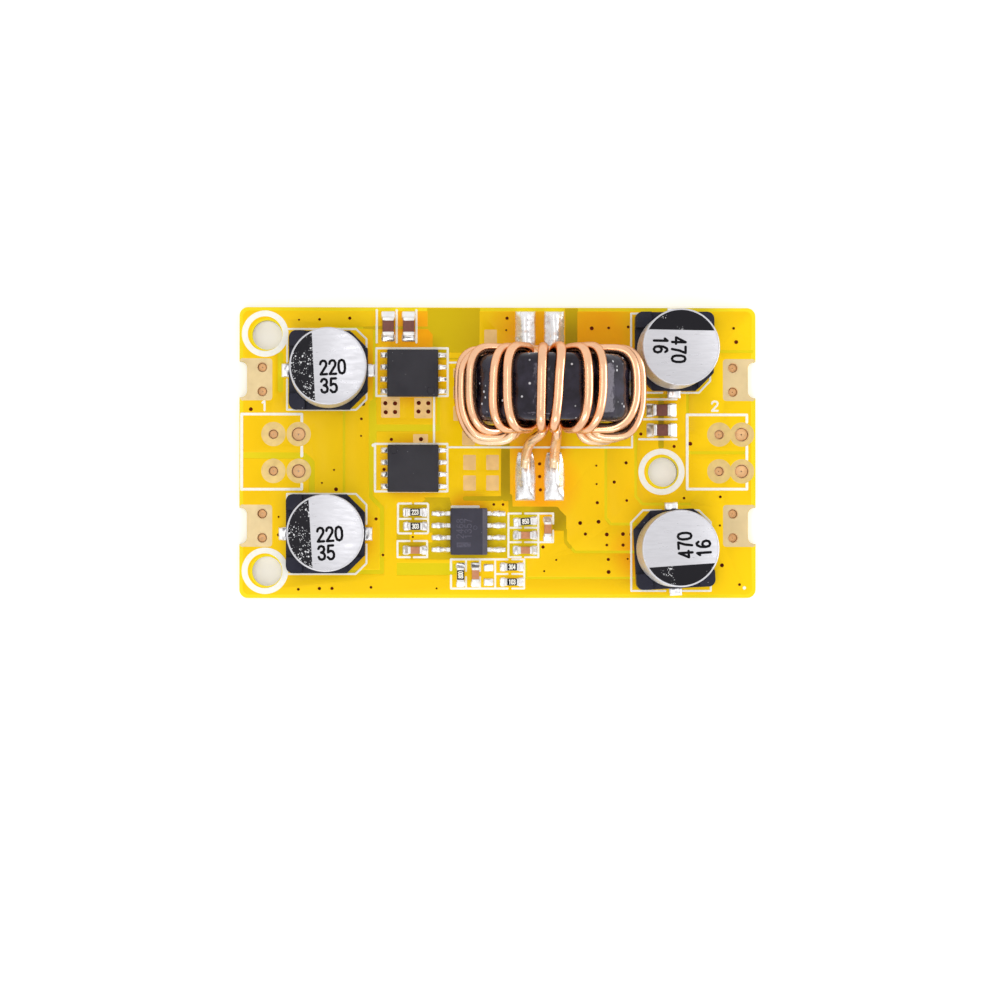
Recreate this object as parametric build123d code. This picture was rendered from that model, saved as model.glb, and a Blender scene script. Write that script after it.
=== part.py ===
from build123d import *
from math import cos, radians, sin, tan
import os

# Step-down converter board. The origin is the middle of the board's underside, +X runs along the
# board from the input to the output, +Z points up to the side that carries the parts. Millimetres.

# Board
board_length = 54.4
board_width = 30.6
board_thickness = 1.6
board_corner_radius = 0.9

# The board's four edges, from which the places of what stands near them are counted
input_end = -board_length / 2
output_end = board_length / 2
far_edge = board_width / 2
near_edge = -board_width / 2

fixing_hole_diameter = 3.1
fixing_holes = [
    (input_end + 2.92, far_edge - 2.94),
    (input_end + 2.91, near_edge + 2.82),
    (output_end - 9.81, -2.03),
]

# Edge contacts: a notch and two holes at each end of both short edges
edge_contact_inset = 7.6
notch_width = 3.8
notch_depth = 0.8
notch_corner_radius = 0.7
edge_hole_diameter = 1.05
edge_hole_inset = 2.4
edge_hole_pitch = 2.54

# Terminal block places: two pairs of lead holes at each end
terminal_hole_y = 1.94
small_lead_hole_diameter = 1.05
large_lead_hole_diameter = 1.5
input_small_hole_x = input_end + 3.57
input_large_hole_x = input_end + 6.22
output_small_hole_x = output_end - 3.84
output_large_hole_x = output_end - 1.45

# Electrolytic capacitors: the can's seat is the base plate, the base's clipped corners mark the plus side
can_diameter = 8.0
capacitor_height = 10.2
can_edge_bevel = 0.35
can_groove_height = 1.3
can_groove_width = 0.8
can_groove_depth = 0.3
base_width = 8.3
base_plate_thickness = 0.9
base_post_height = 0.8
base_post_length = 1.7
base_clip = 1.9
base_corner_bevel = 0.4
base_can_clearance = 0.05
tab_width = 1.35
tab_thickness = 0.2
tab_reach = 0.42
tab_inner_x = 1.0
tab_slot_clearance = 0.03
capacitors = {
    "input_capacitor_1": (input_end + 9.34, far_edge - 6.66, 0),
    "input_capacitor_2": (input_end + 9.05, near_edge + 6.75, 0),
    "output_capacitor_1": (output_end - 8.63, far_edge - 4.63, -90),
    "output_capacitor_2": (output_end - 8.7, near_edge + 5.17, 93),
}

# Inductor: a coated ring that stands on its rim, with its axis along Y
core_x = 5.05
core_y = 6.28
core_outer_diameter = 17.6
core_inner_diameter = 9.0
core_length = 7.0
core_edge_bevel = 0.9
core_lift = 1.0
wire_diameter = 0.95
wire_sides = 8
wire_rim_gap = 0.2
wire_face_gap = 0.25
wire_hole_gap = 0.03
rim_bend_radius = 1.9
hole_bend_radius = 1.2
arch_bend_radius = 2.5
bend_step = 50
plain_mitre = 46
bend_room = 0.48

# Two strands are wound side by side. Each strand's turns in order: angle in the hole, angle on the rim, how
# far its front arches out, how far its back arches out, and the share of the way from the hole to the rim
# where the back arch stands. Angles are counted from straight up towards +X. The first hole angle is the
# front lead's.
strand_turns = {
    "a": {
        "hole": [-193.3, -125, -79, -46, -15, 20, 68, 137],
        "rim": [-122, -88, -40, -8, 22, 74, 110],
        "front_arch": [1.5, 1.4, 0.3, 0.2, 0.2, 0.9, 1.5],
        "back_arch": [0.3, 0.3, 0.3, 0.3, 0.3, 0.3, 0.3],
        "back_share": [0.6, 0.5, 0.5, 0.5, 0.5, 0.5, 0.5],
    },
    "b": {
        "hole": [-175.4, -108, -61, -30.5, 1, 38, 90, 152],
        "rim": [-106, -64, -30.5, 1.5, 32, 91, 124],
        "front_arch": [1.5, 0.4, 0.2, 0.2, 0.3, 1.4, 1.6],
        "back_arch": [0.3, 0.7, 0.7, 0.7, 0.7, 0.7, 0.7],
        "back_share": [0.35, 0.4, 0.4, 0.4, 0.4, 0.4, 0.4],
    },
}
front_arch_share = 0.5
back_arch_lead = 0.25
# Knees of the leads, counted from the core's middle; the second value counts from the wire's path on the face
lead_knees = {
    "a": {"front": (0.85, -1.4, -6.6), "back": (3.4, 0.3, -5.6)},
    "b": {"front": (-1.9, -1.0, -6.0), "back": (-0.85, 1.5, -6.4)},
}
lead_layers = {"a": 0, "b": 1}

# Inductor leads and their joints. The leads drop from the hole to four pads, two in front and two behind.
lead_joint_width = 2.2
lead_joint_length = 5.15
lead_joint_height = 1.15
lead_joint_taper = 22
lead_wire_lift = 0.08
lead_end_inset = 0.4
lead_touch_inset = 0.5
back_touch_inset = 2.3
lead_bend_radius = 1.1
wire_layer_gap = 0.2
front_joint_y = -2.5
back_joint_y = 12.35
left_joint_x = 2.88
right_joint_x = 5.92

# Power transistors: flat leads along both long sides of the body
transistor_length = 5.4
transistor_width = 5.0
transistor_height = 1.0
transistor_taper = 4
transistor_lead_width = 0.5
transistor_lead_thickness = 0.25
transistor_lead_reach = 0.35
transistor_lead_pitch = 1.27
transistors = {
    "transistor_1": (-9.0, 8.36),
    "transistor_2": (-8.95, -1.66),
}

# Controller circuit: gull-wing leads
controller_x = -3.1
controller_y = -8.31
controller_length = 3.9
controller_width = 4.9
controller_height = 1.45
controller_standoff = 0.1
controller_bevel = 0.35
controller_lead_span = 6.0
controller_lead_width = 0.42
controller_lead_thickness = 0.2
controller_lead_pitch = 1.27
controller_foot = 0.6
controller_shoulder = 0.25
controller_lead_height = 0.7
leads_per_side = 4

# Chip sizes: length, width, height, end cap length
chip_sizes = {
    "large": (2.0, 1.25, 0.95, 0.45),
    "small": (1.6, 0.8, 0.75, 0.35),
    "resistor": (1.6, 0.8, 0.45, 0.32),
}
end_cap_thickness = 0.04
resistor_cover_thickness = 0.03
ceramic_capacitors = {
    "ceramic_capacitor_1": ("large", -11.58, far_edge - 2.02, 90),
    "ceramic_capacitor_2": ("large", -9.42, far_edge - 2.02, 90),
    "ceramic_capacitor_3": ("large", 17.23, 4.49, 0),
    "ceramic_capacitor_4": ("large", 17.28, 2.39, 0),
    "ceramic_capacitor_5": ("small", -8.74, -10.27, 0),
    "ceramic_capacitor_6": ("small", 2.87, -8.69, 0),
    "ceramic_capacitor_7": ("small", 2.86, -10.27, 0),
    "ceramic_capacitor_8": ("small", 5.24, -8.03, 90),
    "ceramic_capacitor_9": ("small", -2.39, near_edge + 2.46, 90),
}
resistors = {
    "resistor_1": (-8.74, -6.27, 0),
    "resistor_2": (-8.71, -7.75, 0),
    "resistor_3": (2.89, -7.24, 5),
    "resistor_4": (-3.95, near_edge + 2.43, 90),
    "resistor_5": (1.47, near_edge + 3.27, 0),
    "resistor_6": (1.47, near_edge + 1.69, 0),
}

# Solder fillets: how far they run out and how much of the end they climb
chip_fillet_reach = {"large": 0.6, "small": 0.4, "resistor": 0.4}
chip_fillet_climb = 0.7
lead_fillet_reach = 0.35
lead_fillet_climb = 0.8
foot_fillet_reach = 0.45

# What follows from the sizes above
board_top = board_thickness
core_radius = core_outer_diameter / 2
core_z = board_top + core_lift + core_radius
wire_radius = wire_diameter / 2
rim_path_radius = core_radius + wire_rim_gap + wire_radius
hole_path_radius = core_inner_diameter / 2 - wire_hole_gap - wire_radius
face_path_y = core_length / 2 + wire_face_gap + wire_radius
lead_wire_z = board_top + lead_wire_lift + wire_radius


def block(length, width, low, high, x=0.0, y=0.0):
    """A box centred on x, y that stands from low to high."""
    place = Pos(x, y, low)
    return place * Box(length, width, high - low, align=(Align.CENTER, Align.CENTER, Align.MIN))


def slab(outline, low, high):
    """A flat outline raised from low to high."""
    return extrude(Pos(0, 0, low) * outline, high - low)


def named(solid, name):
    """One solid or a group of solids, written to its own file."""
    solid.label = name
    export_step(solid, f"parts/{name}.step")


def sides():
    """Signs for what repeats at both ends or both sides."""
    return (-1, 1)


def lead_rows(pitch):
    """Offsets of the leads along one side of a package."""
    return [(row - (leads_per_side - 1) / 2) * pitch for row in range(leads_per_side)]


def edge_contact_y():
    """Distance of the edge contacts from the board's middle line."""
    return board_width / 2 - edge_contact_inset


def terminal_holes():
    """Places and diameters of the holes for wire leads near both ends."""
    small = small_lead_hole_diameter
    large = large_lead_hole_diameter
    for y in (-terminal_hole_y, terminal_hole_y):
        yield input_small_hole_x, y, small
        yield input_large_hole_x, y, large
        yield output_small_hole_x, y, small
        yield output_large_hole_x, y, large


def edge_holes():
    """Places of the holes in the four edge pads."""
    for side_x in sides():
        for side_y in sides():
            for half in sides():
                x = side_x * (board_length / 2 - edge_hole_inset)
                y = side_y * edge_contact_y() + half * edge_hole_pitch / 2
                yield x, y


def edge_notches():
    """The four shallow notches in the short edges, as flat outlines."""
    mouth = RectangleRounded(2 * notch_depth, notch_width, notch_corner_radius)
    shapes = [
        Pos(side_x * board_length / 2, side_y * edge_contact_y()) * mouth
        for side_x in sides()
        for side_y in sides()
    ]
    return Sketch() + shapes


def lead_hole_outlines():
    """All holes for wire leads, as flat outlines."""
    rounds = [Pos(x, y) * Circle(edge_hole_diameter / 2) for x, y in edge_holes()]
    rounds += [Pos(x, y) * Circle(diameter / 2) for x, y, diameter in terminal_holes()]
    return Sketch() + rounds


def make_board():
    """The laminate with its notches, lead holes and fixing holes."""
    outline = RectangleRounded(board_length, board_width, board_corner_radius)
    outline -= edge_notches()
    outline -= lead_hole_outlines()
    for x, y in fixing_holes:
        outline -= Pos(x, y) * Circle(fixing_hole_diameter / 2)
    return slab(outline, 0, board_top)


def make_can():
    """A sealed aluminium can: rolled groove above the base, bevelled top edge."""
    radius = can_diameter / 2
    waist = radius - can_groove_depth
    low = base_plate_thickness
    groove_low = low + can_groove_height
    groove_high = groove_low + can_groove_width
    profile = Polyline(
        (0, low),
        (radius, low),
        (radius, groove_low),
        (waist, (groove_low + groove_high) / 2),
        (radius, groove_high),
        (radius, capacitor_height - can_edge_bevel),
        (radius - can_edge_bevel, capacitor_height),
        (0, capacitor_height),
        close=True,
    )
    return revolve(Plane.XZ * make_face(profile), Axis.Z)


def make_base():
    """The plastic base: two clipped corners, corner posts round the can, slots for the tabs."""
    outline = Rectangle(base_width, base_width)
    outline = chamfer(outline.vertices().group_by(Axis.X)[-1], base_clip)
    outline = chamfer(outline.vertices().group_by(Axis.X)[0], base_corner_bevel)
    post_top = base_plate_thickness + base_post_height
    middle = base_width - 2 * base_post_length
    posts = outline - Rot(0, 0, 45) * Rectangle(*can_seat_size())
    posts -= Rectangle(base_width, middle) + Rectangle(middle, base_width)
    slots = Sketch() + [Pos(side * base_width / 2, 0) * Rectangle(*tab_slot()) for side in sides()]
    plate = slab(outline, 0, base_plate_thickness) - slab(slots, 0, tab_thickness)
    return plate + slab(posts, base_plate_thickness, post_top)


def can_seat_size():
    """Both sides of the square, turned by 45 degrees, whose flats the corner posts show to the can."""
    side = can_diameter + 2 * base_can_clearance
    return side, side


def tab_slot():
    """Length and width of the slot under the base, both sides of the base's edge counted."""
    length = 2 * (base_width / 2 - tab_inner_x + tab_slot_clearance)
    return length, tab_width + 2 * tab_slot_clearance


def make_tabs():
    """The two terminal tabs of one capacitor."""
    length = base_width / 2 + tab_reach - tab_inner_x
    middle = tab_inner_x + length / 2
    return Compound([block(length, tab_width, 0, tab_thickness, side * middle) for side in sides()])


def make_core():
    """The coated ring on its rim."""
    blank = Cylinder(core_radius, core_length) - Cylinder(core_inner_diameter / 2, core_length)
    rims = blank.edges().filter_by(GeomType.CIRCLE)
    ring = chamfer(rims, core_edge_bevel)
    return Pos(core_x, core_y, core_z) * Rot(90, 0, 0) * ring


def on_ring(angle, radius, along):
    """A point beside the core: angle from straight up, distance from its axis, place along its axis."""
    x = core_x + radius * sin(radians(angle))
    z = core_z + radius * cos(radians(angle))
    return Vector(x, core_y + along, z)


def strand_route(name):
    """Corner points and bend radii of one strand: front lead, seven turns, back lead."""
    turns = strand_turns[name]
    holes = turns["hole"]
    rims = turns["rim"]
    front_lead, back_lead = lead_routes(name)
    route = [(point, lead_bend_radius) for point in front_lead]
    route.append((on_ring(holes[0], hole_path_radius, -face_path_y), hole_bend_radius))
    leg = rim_path_radius - hole_path_radius
    for turn, rim in enumerate(rims):
        entry = holes[turn]
        leave = holes[turn + 1]
        back_angle = entry + back_arch_lead * (rim - entry)
        back_radius = hole_path_radius + turns["back_share"][turn] * leg
        back_y = face_path_y + turns["back_arch"][turn]
        front_angle = (rim + leave) / 2
        front_radius = hole_path_radius + front_arch_share * leg
        front_y = face_path_y + turns["front_arch"][turn]
        route.append((on_ring(entry, hole_path_radius, face_path_y), hole_bend_radius))
        route.append((on_ring(back_angle, back_radius, back_y), arch_bend_radius))
        route.append((on_ring(rim, rim_path_radius, face_path_y), rim_bend_radius))
        route.append((on_ring(rim, rim_path_radius, -face_path_y), rim_bend_radius))
        route.append((on_ring(front_angle, front_radius, -front_y), arch_bend_radius))
        route.append((on_ring(leave, hole_path_radius, -face_path_y), hole_bend_radius))
    route.append((back_lead[0], hole_bend_radius))
    route += [(point, lead_bend_radius) for point in back_lead[1:]]
    return route


def lead_routes(name):
    """The front lead from its joint up to the hole, and the back lead from the hole down to its joint."""
    joint_x = joint_places()[name]
    half = lead_joint_length / 2
    front_end = Vector(joint_x["front"], front_joint_y - half + lead_end_inset, lead_wire_z)
    front_touch = Vector(joint_x["front"], front_joint_y + half - lead_touch_inset, lead_wire_z)
    back_end = Vector(joint_x["back"], back_joint_y + half - lead_end_inset, lead_wire_z)
    back_touch = Vector(joint_x["back"], back_joint_y - half + back_touch_inset, lead_wire_z)
    knee_x, knee_y, knee_z = lead_knees[name]["front"]
    front_knee = Vector(core_x + knee_x, core_y - face_path_y + knee_y, core_z + knee_z)
    knee_x, knee_y, knee_z = lead_knees[name]["back"]
    layer = lead_layers[name] * (wire_diameter + wire_layer_gap)
    back_knee = Vector(core_x + knee_x, core_y + face_path_y + knee_y, core_z + knee_z)
    back_corner = on_ring(strand_turns[name]["hole"][-1], hole_path_radius, face_path_y + layer)
    return [front_end, front_touch, front_knee], [back_corner, back_knee, back_touch, back_end]


def joint_places():
    """Which pad each strand's two leads go to."""
    return {
        "a": {"front": right_joint_x, "back": right_joint_x},
        "b": {"front": left_joint_x, "back": left_joint_x},
    }


def bent(route):
    """The route's corners rounded by short straight chords."""
    points = [corner for corner, _ in route]
    line = [points[0]]
    for before, (corner, radius), after in zip(points, route[1:-1], points[2:]):
        back = (before - corner).normalized()
        ahead = (after - corner).normalized()
        turn = 180 - back.get_angle(ahead)
        if turn < plain_mitre:
            line.append(corner)
            continue
        room = bend_room * min((before - corner).length, (after - corner).length)
        reach = min(radius * tan(radians(turn / 2)), room)
        middle = corner + (back + ahead).normalized() * (reach / sin(radians(turn / 2)))
        spoke = corner + back * reach - middle
        normal = Axis((0, 0, 0), back.cross(ahead))
        chords = max(1, round(turn / bend_step))
        for step in range(chords + 1):
            line.append(middle + spoke.rotate(normal, -turn * step / chords))
    line.append(points[-1])
    return line


def make_strand(name):
    """One winding strand: an eight-sided wire swept along its route with mitred bends."""
    path = Polyline(*bent(strand_route(name)))
    start = Plane(origin=path @ 0, z_dir=path % 0)
    return sweep(start * RegularPolygon(wire_radius, wire_sides), path=path, transition=Transition.RIGHT)


def make_lead_joints(strands):
    """The four long solder joints, each with a channel that its lead fills."""
    foot = Rectangle(lead_joint_width, lead_joint_length)
    blank = extrude(foot, lead_joint_height, taper=lead_joint_taper)
    joints = []
    for x in (left_joint_x, right_joint_x):
        for y in (front_joint_y, back_joint_y):
            joint = on_board(x, y) * blank
            for strand in strands:
                joint -= strand
            joints += joint.solids()
    return Compound(joints)


def make_transistor_body():
    """A flat moulded body with slightly tapered sides."""
    foot = Rectangle(transistor_length, transistor_width)
    return extrude(foot, transistor_height, taper=transistor_taper)


def make_transistor_leads():
    """Eight flat leads, four along each short side."""
    length = transistor_lead_reach
    middle = (transistor_length + length) / 2
    leads = [
        block(length, transistor_lead_width, 0, transistor_lead_thickness, side * middle, row)
        for side in sides()
        for row in lead_rows(transistor_lead_pitch)
    ]
    return Compound(leads)


def make_controller_body():
    """The controller's moulded body with one bevelled long edge."""
    low = controller_standoff
    body = block(controller_length, controller_width, low, low + controller_height)
    edge = body.edges().filter_by(Axis.Y).group_by(Axis.Z)[-1].sort_by(Axis.X)[-1]
    return chamfer(edge, controller_bevel)


def gull_wing():
    """One gull-wing lead on the +X side, as a side profile spread to the lead's width."""
    thick = controller_lead_thickness
    tip = controller_lead_span / 2
    side = controller_length / 2
    shoulder = side + controller_shoulder
    heel = tip - controller_foot
    high = controller_lead_height + thick
    profile = Polyline(
        (side, controller_lead_height),
        (side, high),
        (shoulder + thick / 2, high),
        (heel + thick, thick),
        (tip, thick),
        (tip, 0),
        (heel, 0),
        (shoulder, controller_lead_height),
        close=True,
    )
    lead = extrude(Plane.XZ * make_face(profile), controller_lead_width / 2, both=True)
    return lead


def make_controller_leads():
    """Eight gull-wing leads, four along each long side."""
    lead = gull_wing()
    leads = [
        Rot(0, 0, turn) * Pos(0, row, 0) * lead
        for turn in (0, 180)
        for row in lead_rows(controller_lead_pitch)
    ]
    return Compound(leads)


def make_ceramic(kind):
    """The ceramic block of a chip capacitor, which runs inside both end caps."""
    length, width, height, _ = chip_sizes[kind]
    skin = end_cap_thickness
    return block(length - 2 * skin, width - 2 * skin, skin, height - skin)


def make_end_caps(kind):
    """Both end caps of a chip, closed round the end of its block."""
    length, width, height, cap = chip_sizes[kind]
    caps = [
        block(cap, width, 0, height, side * (length - cap) / 2) - make_ceramic(kind)
        for side in sides()
    ]
    return Compound(caps)


def make_resistor_block():
    """A chip resistor's block with the raised cover between its end caps."""
    length, width, height, cap = chip_sizes["resistor"]
    cover_low = height - end_cap_thickness
    cover_high = height + resistor_cover_thickness
    cover = block(length - 2 * cap, width - 2 * end_cap_thickness, cover_low, cover_high)
    return make_ceramic("resistor") + cover


def fillet_wedge(width, reach, climb):
    """A solder fillet: it starts at x = 0 with its full height and runs out along +X."""
    profile = Polyline((0, 0), (reach, 0), (0, climb), close=True)
    return extrude(Plane.XZ * make_face(profile), width / 2, both=True)


def both_ends(shape, end_x):
    """A shape put at +X and turned round to -X."""
    return [Rot(0, 0, turn) * Pos(end_x, 0, 0) * shape for turn in (0, 180)]


def on_board(x, y, angle=0):
    """The place of a piece that stands on the board."""
    return Pos(x, y, board_top) * Rot(0, 0, angle)


def make_fillets():
    """Every small solder fillet, as a group."""
    wedges = []
    chips = [(kind, x, y, angle) for kind, x, y, angle in ceramic_capacitors.values()]
    chips += [("resistor", *place) for place in resistors.values()]
    for kind, x, y, angle in chips:
        length, width, height, _ = chip_sizes[kind]
        wedge = fillet_wedge(width, chip_fillet_reach[kind], height * chip_fillet_climb)
        wedges += [on_board(x, y, angle) * one for one in both_ends(wedge, length / 2)]
    climb = transistor_lead_thickness * lead_fillet_climb
    wedge = fillet_wedge(transistor_lead_width, lead_fillet_reach, climb)
    for x, y in transistors.values():
        for row in lead_rows(transistor_lead_pitch):
            end = transistor_length / 2 + transistor_lead_reach
            wedges += [on_board(x, y + row) * one for one in both_ends(wedge, end)]
    climb = controller_lead_thickness * lead_fillet_climb
    wedge = fillet_wedge(controller_lead_width, foot_fillet_reach, climb)
    for row in lead_rows(controller_lead_pitch):
        place = on_board(controller_x, controller_y + row)
        wedges += [place * one for one in both_ends(wedge, controller_lead_span / 2)]
    return Compound(wedges)


def write_capacitors():
    """Can, base and tabs of each electrolytic capacitor."""
    for name, place in capacitors.items():
        seat = on_board(*place)
        named(seat * make_can(), f"{name}_can")
        named(seat * make_base(), f"{name}_base")
        named(seat * make_tabs(), f"{name}_tabs")


def write_inductor():
    """Core, both winding strands and the joints that hold their leads."""
    strands = {name: make_strand(name) for name in strand_turns}
    named(make_core(), "inductor_core")
    for name, strand in strands.items():
        named(strand, f"inductor_winding_{name}")
    named(make_lead_joints(strands.values()), "inductor_solder_joints")


def write_packages():
    """Both power transistors and the controller circuit."""
    for name, place in transistors.items():
        seat = on_board(*place)
        named(seat * make_transistor_body(), f"{name}_body")
        named(seat * make_transistor_leads(), f"{name}_leads")
    seat = on_board(controller_x, controller_y)
    named(seat * make_controller_body(), "controller_body")
    named(seat * make_controller_leads(), "controller_leads")


def write_chips():
    """Block and end caps of each chip capacitor and chip resistor."""
    for name, (kind, x, y, angle) in ceramic_capacitors.items():
        seat = on_board(x, y, angle)
        named(seat * make_ceramic(kind), f"{name}_block")
        named(seat * make_end_caps(kind), f"{name}_end_caps")
    for name, place in resistors.items():
        seat = on_board(*place)
        named(seat * make_resistor_block(), f"{name}_block")
        named(seat * make_end_caps("resistor"), f"{name}_end_caps")


if __name__ == "__main__":
    os.makedirs("parts", exist_ok=True)
    named(make_board(), "circuit_board")
    write_capacitors()
    write_inductor()
    write_packages()
    write_chips()
    named(make_fillets(), "solder_fillets")
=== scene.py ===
"""Step-down converter board: every visible piece of the board, built round the loaded frame.

Sizes in the tables below are in millimetres, in the frame's own axes: the origin is the middle of the
board's underside, +X runs from the input end to the output end and +Z points up. Settings that a user
would change are properties, in metres.
"""

import random
from math import acos, copysign, cos, exp, hypot, pi, radians, sin, tau

import bpy
from bpy.props import FloatProperty, FloatVectorProperty, PointerProperty
from mathutils import Matrix, Vector, geometry, noise


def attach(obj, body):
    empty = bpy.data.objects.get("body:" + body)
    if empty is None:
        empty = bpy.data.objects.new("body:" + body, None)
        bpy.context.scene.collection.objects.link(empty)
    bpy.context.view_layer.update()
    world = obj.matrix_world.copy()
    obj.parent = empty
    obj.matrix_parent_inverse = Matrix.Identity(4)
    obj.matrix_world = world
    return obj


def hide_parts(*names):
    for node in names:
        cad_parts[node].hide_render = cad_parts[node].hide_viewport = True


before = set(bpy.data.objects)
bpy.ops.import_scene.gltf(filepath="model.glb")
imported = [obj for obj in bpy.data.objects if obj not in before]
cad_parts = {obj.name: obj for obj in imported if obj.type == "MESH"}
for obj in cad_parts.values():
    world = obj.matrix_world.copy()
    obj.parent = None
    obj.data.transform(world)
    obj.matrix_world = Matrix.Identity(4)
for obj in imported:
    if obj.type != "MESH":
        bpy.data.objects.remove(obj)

bl_info = {
    "name": "Step-down converter board",
    "version": (1, 0, 0),
    "blender": (4, 5, 0),
    "location": "View3D > Sidebar > Converter",
    "description": "Builds the visible pieces of a step-down converter board",
    "category": "Object",
}

MM = 0.001
BODY = "root"


def screen(red, green, blue):
    """A colour as a screen shows it, each part from 0 to 255, as the linear values that a shader takes."""

    def straight(part):
        part /= 255
        return part / 12.92 if part <= 0.04045 else ((part + 0.055) / 1.055) ** 2.4

    return straight(red), straight(green), straight(blue)


# Board and its holes
BOARD_TOP = 1.6
BOARD_HALF_X = 27.2
BOARD_HALF_Y = 15.3
MASK_RISE = 0.045
PAD_RISE = 0.035
PAD_SLOPE = 0.02
PRINT_RISE = 0.062
WINDOW_RISE = 0.008
# How high the layers under the board are against those on top
UNDER_RISE = 0.6
# How far the copper stays back from the board's edge
COPPER_MARGIN = 0.45
# The board's four corners, as signs of X and Y
CORNERS = [(-1, -1), (-1, 1), (1, -1), (1, 1)]
FIXING_HOLES = [(-24.28, 12.36), (-24.29, -12.48), (17.39, -2.03)]
FIXING_CLEAR_RADIUS = 1.86
EDGE_HOLE_X = 24.8
EDGE_CONTACT_Y = 7.7
EDGE_HOLE_HALF_PITCH = 1.27
SMALL_HOLE = 0.525
LARGE_HOLE = 0.75
TERMINAL_Y = 1.94
TERMINAL_HOLES = [(-23.63, SMALL_HOLE), (-20.98, LARGE_HOLE), (23.36, SMALL_HOLE), (25.75, LARGE_HOLE)]
HOLE_CLEARANCE = 0.015
RING_PAD_RADIUS = 1.3
# Length, width and corner of the notches in the board's ends and of the pads round them
NOTCH = (1.66, 3.86, 0.72)
CONTACT = (3.45, 4.45, 0.35)
CONTACT_X = 25.46

# Copper-free channels under the mask, light where the laminate glows and dark where parts shade it:
# width and middle line of each
LIGHT_CHANNELS = [
    (0.74, [(-22.89, 10.28), (-22.89, 6.6)]),
    (0.34, [(-16.84, 13.15), (-13.26, 13.15)]),
    (0.44, [(-13.0, 13.34), (-13.0, 5.55)]),
    (0.95, [(-13.21, 5.13), (-13.21, -2.87)]),
    (0.42, [(-16.21, 4.39), (-16.21, -4.35)]),
    (0.84, [(-12.84, 2.6), (-6.42, 2.6)]),
    (0.42, [(-6.26, 5.76), (-6.26, 2.39)]),
    (0.74, [(-26.84, -0.29), (-20.42, -0.29), (-19.58, -1.08), (-19.58, -4.35)]),
    (0.58, [(-13.37, -2.87), (-13.37, -4.66), (-12.21, -5.82), (-12.21, -12.56), (-16.11, -12.56)]),
    (1.4, [(-10.84, -12.25), (-4.84, -12.25)]),
    (0.37, [(2.95, -11.29), (2.95, -13.19), (14.32, -13.19)]),
    (0.42, [(20.0, 6.28), (20.0, 2.39)]),
    (0.47, [(20.11, 0.02), (26.32, 0.02)]),
    (0.47, [(23.37, 10.71), (26.74, 10.71)]),
    (0.44, [(14.53, 3.65), (14.53, -4.56), (15.26, -5.4), (20.21, -5.4)]),
    (0.44, [(7.47, -9.72), (8.11, -10.45), (14.63, -10.45)]),
    (0.44, [(11.37, 0.6), (11.37, -6.87), (11.89, -7.51), (14.53, -7.51)]),
]
DARK_CHANNELS = [
    (0.40, [(-14.0, 13.15), (-7.37, 13.15)]),
    (1.05, [(0.79, 1.02), (0.79, -4.66)]),
    (0.53, [(1.32, -4.56), (1.32, -10.87)]),
    (0.63, [(-3.47, -4.82), (0.21, -4.82)]),
    (0.95, [(1.58, -6.08), (6.11, -6.08)]),
    (0.47, [(7.11, -8.14), (7.11, -9.29), (7.58, -9.93)]),
    (0.74, [(17.21, 5.55), (17.21, 0.71)]),
    (0.42, [(15.47, 6.07), (17.89, 6.07)]),
]
UNDER_CHANNELS = [
    (0.6, [(-18.5, 14.9), (-18.5, 2.0), (-12.0, -4.5), (14.0, -4.5), (18.6, 0.2), (18.6, 14.9)]),
]
LIGHT_WINDOWS = [
    [(1.05, -6.24), (4.53, -6.24), (4.53, -11.08), (1.05, -11.08)],
]
DARK_WINDOWS = [
    [(-7.47, 15.23), (-1.89, 15.23), (-1.89, 10.6), (-2.53, 9.76), (-6.95, 9.76), (-6.95, 12.39), (-7.47, 13.02)],
    [(7.05, 15.23), (8.42, 15.23), (8.42, 10.6), (7.05, 10.6)],
    [(5.68, -5.61), (6.32, -5.72), (7.26, -6.66), (7.26, -8.24), (5.68, -8.24)],
    [(-10.74, -5.51), (-10.32, -4.66), (-5.05, -4.66), (-4.84, -5.93), (-2.32, -5.93), (-2.32, -11.29),
     (-9.79, -11.29), (-10.74, -10.45)],
    [(-2.32, -6.45), (1.05, -6.45), (1.05, -11.08), (-2.32, -11.08)],
]
# Copper traces that cross those windows
TRACES = [
    [(-12.11, -4.35), (-8.21, -4.35), (-7.68, -4.87), (-8.21, -5.29), (-11.58, -5.29), (-12.11, -4.87)],
    [(-11.89, -6.03), (-11.58, -5.72), (-10.95, -5.72), (-10.74, -6.03), (-10.74, -13.08), (-11.89, -13.08)],
    [(-9.26, -8.45), (-6.95, -8.45), (-6.95, -9.4), (-9.26, -9.4)],
    [(-5.26, 10.49), (-3.58, 10.49), (-3.58, 10.02), (-5.26, 10.02)],
]
# Bare pads with no part on them: middle, length, width
SPARE_PADS = [
    (-0.79, 12.18, 1.37, 1.63), (-3.11, 1.55, 1.37, 1.63), (-0.58, 1.55, 1.37, 1.63), (-3.0, -1.03, 1.37, 1.63),
    (-0.58, -1.03, 1.37, 1.63), (-3.0, -3.19, 1.37, 1.63), (-0.58, -3.19, 1.37, 1.63), (-4.05, 8.39, 1.37, 1.05),
    (-4.05, 6.34, 1.37, 1.37), (-4.05, 4.13, 1.37, 1.58), (-11.32, 4.76, 2.0, 2.2), (-7.89, 4.7, 1.9, 2.2),
    (-8.16, 1.39, 1.6, 1.15),
]
PAD_VIAS = [
    (-11.86, 5.2), (-10.84, 5.18), (-11.82, 4.25), (-10.84, 4.28), (-8.35, 5.23), (-7.34, 5.21), (-8.37, 4.34),
    (-7.34, 4.33), (-8.11, 1.41),
]
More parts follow.
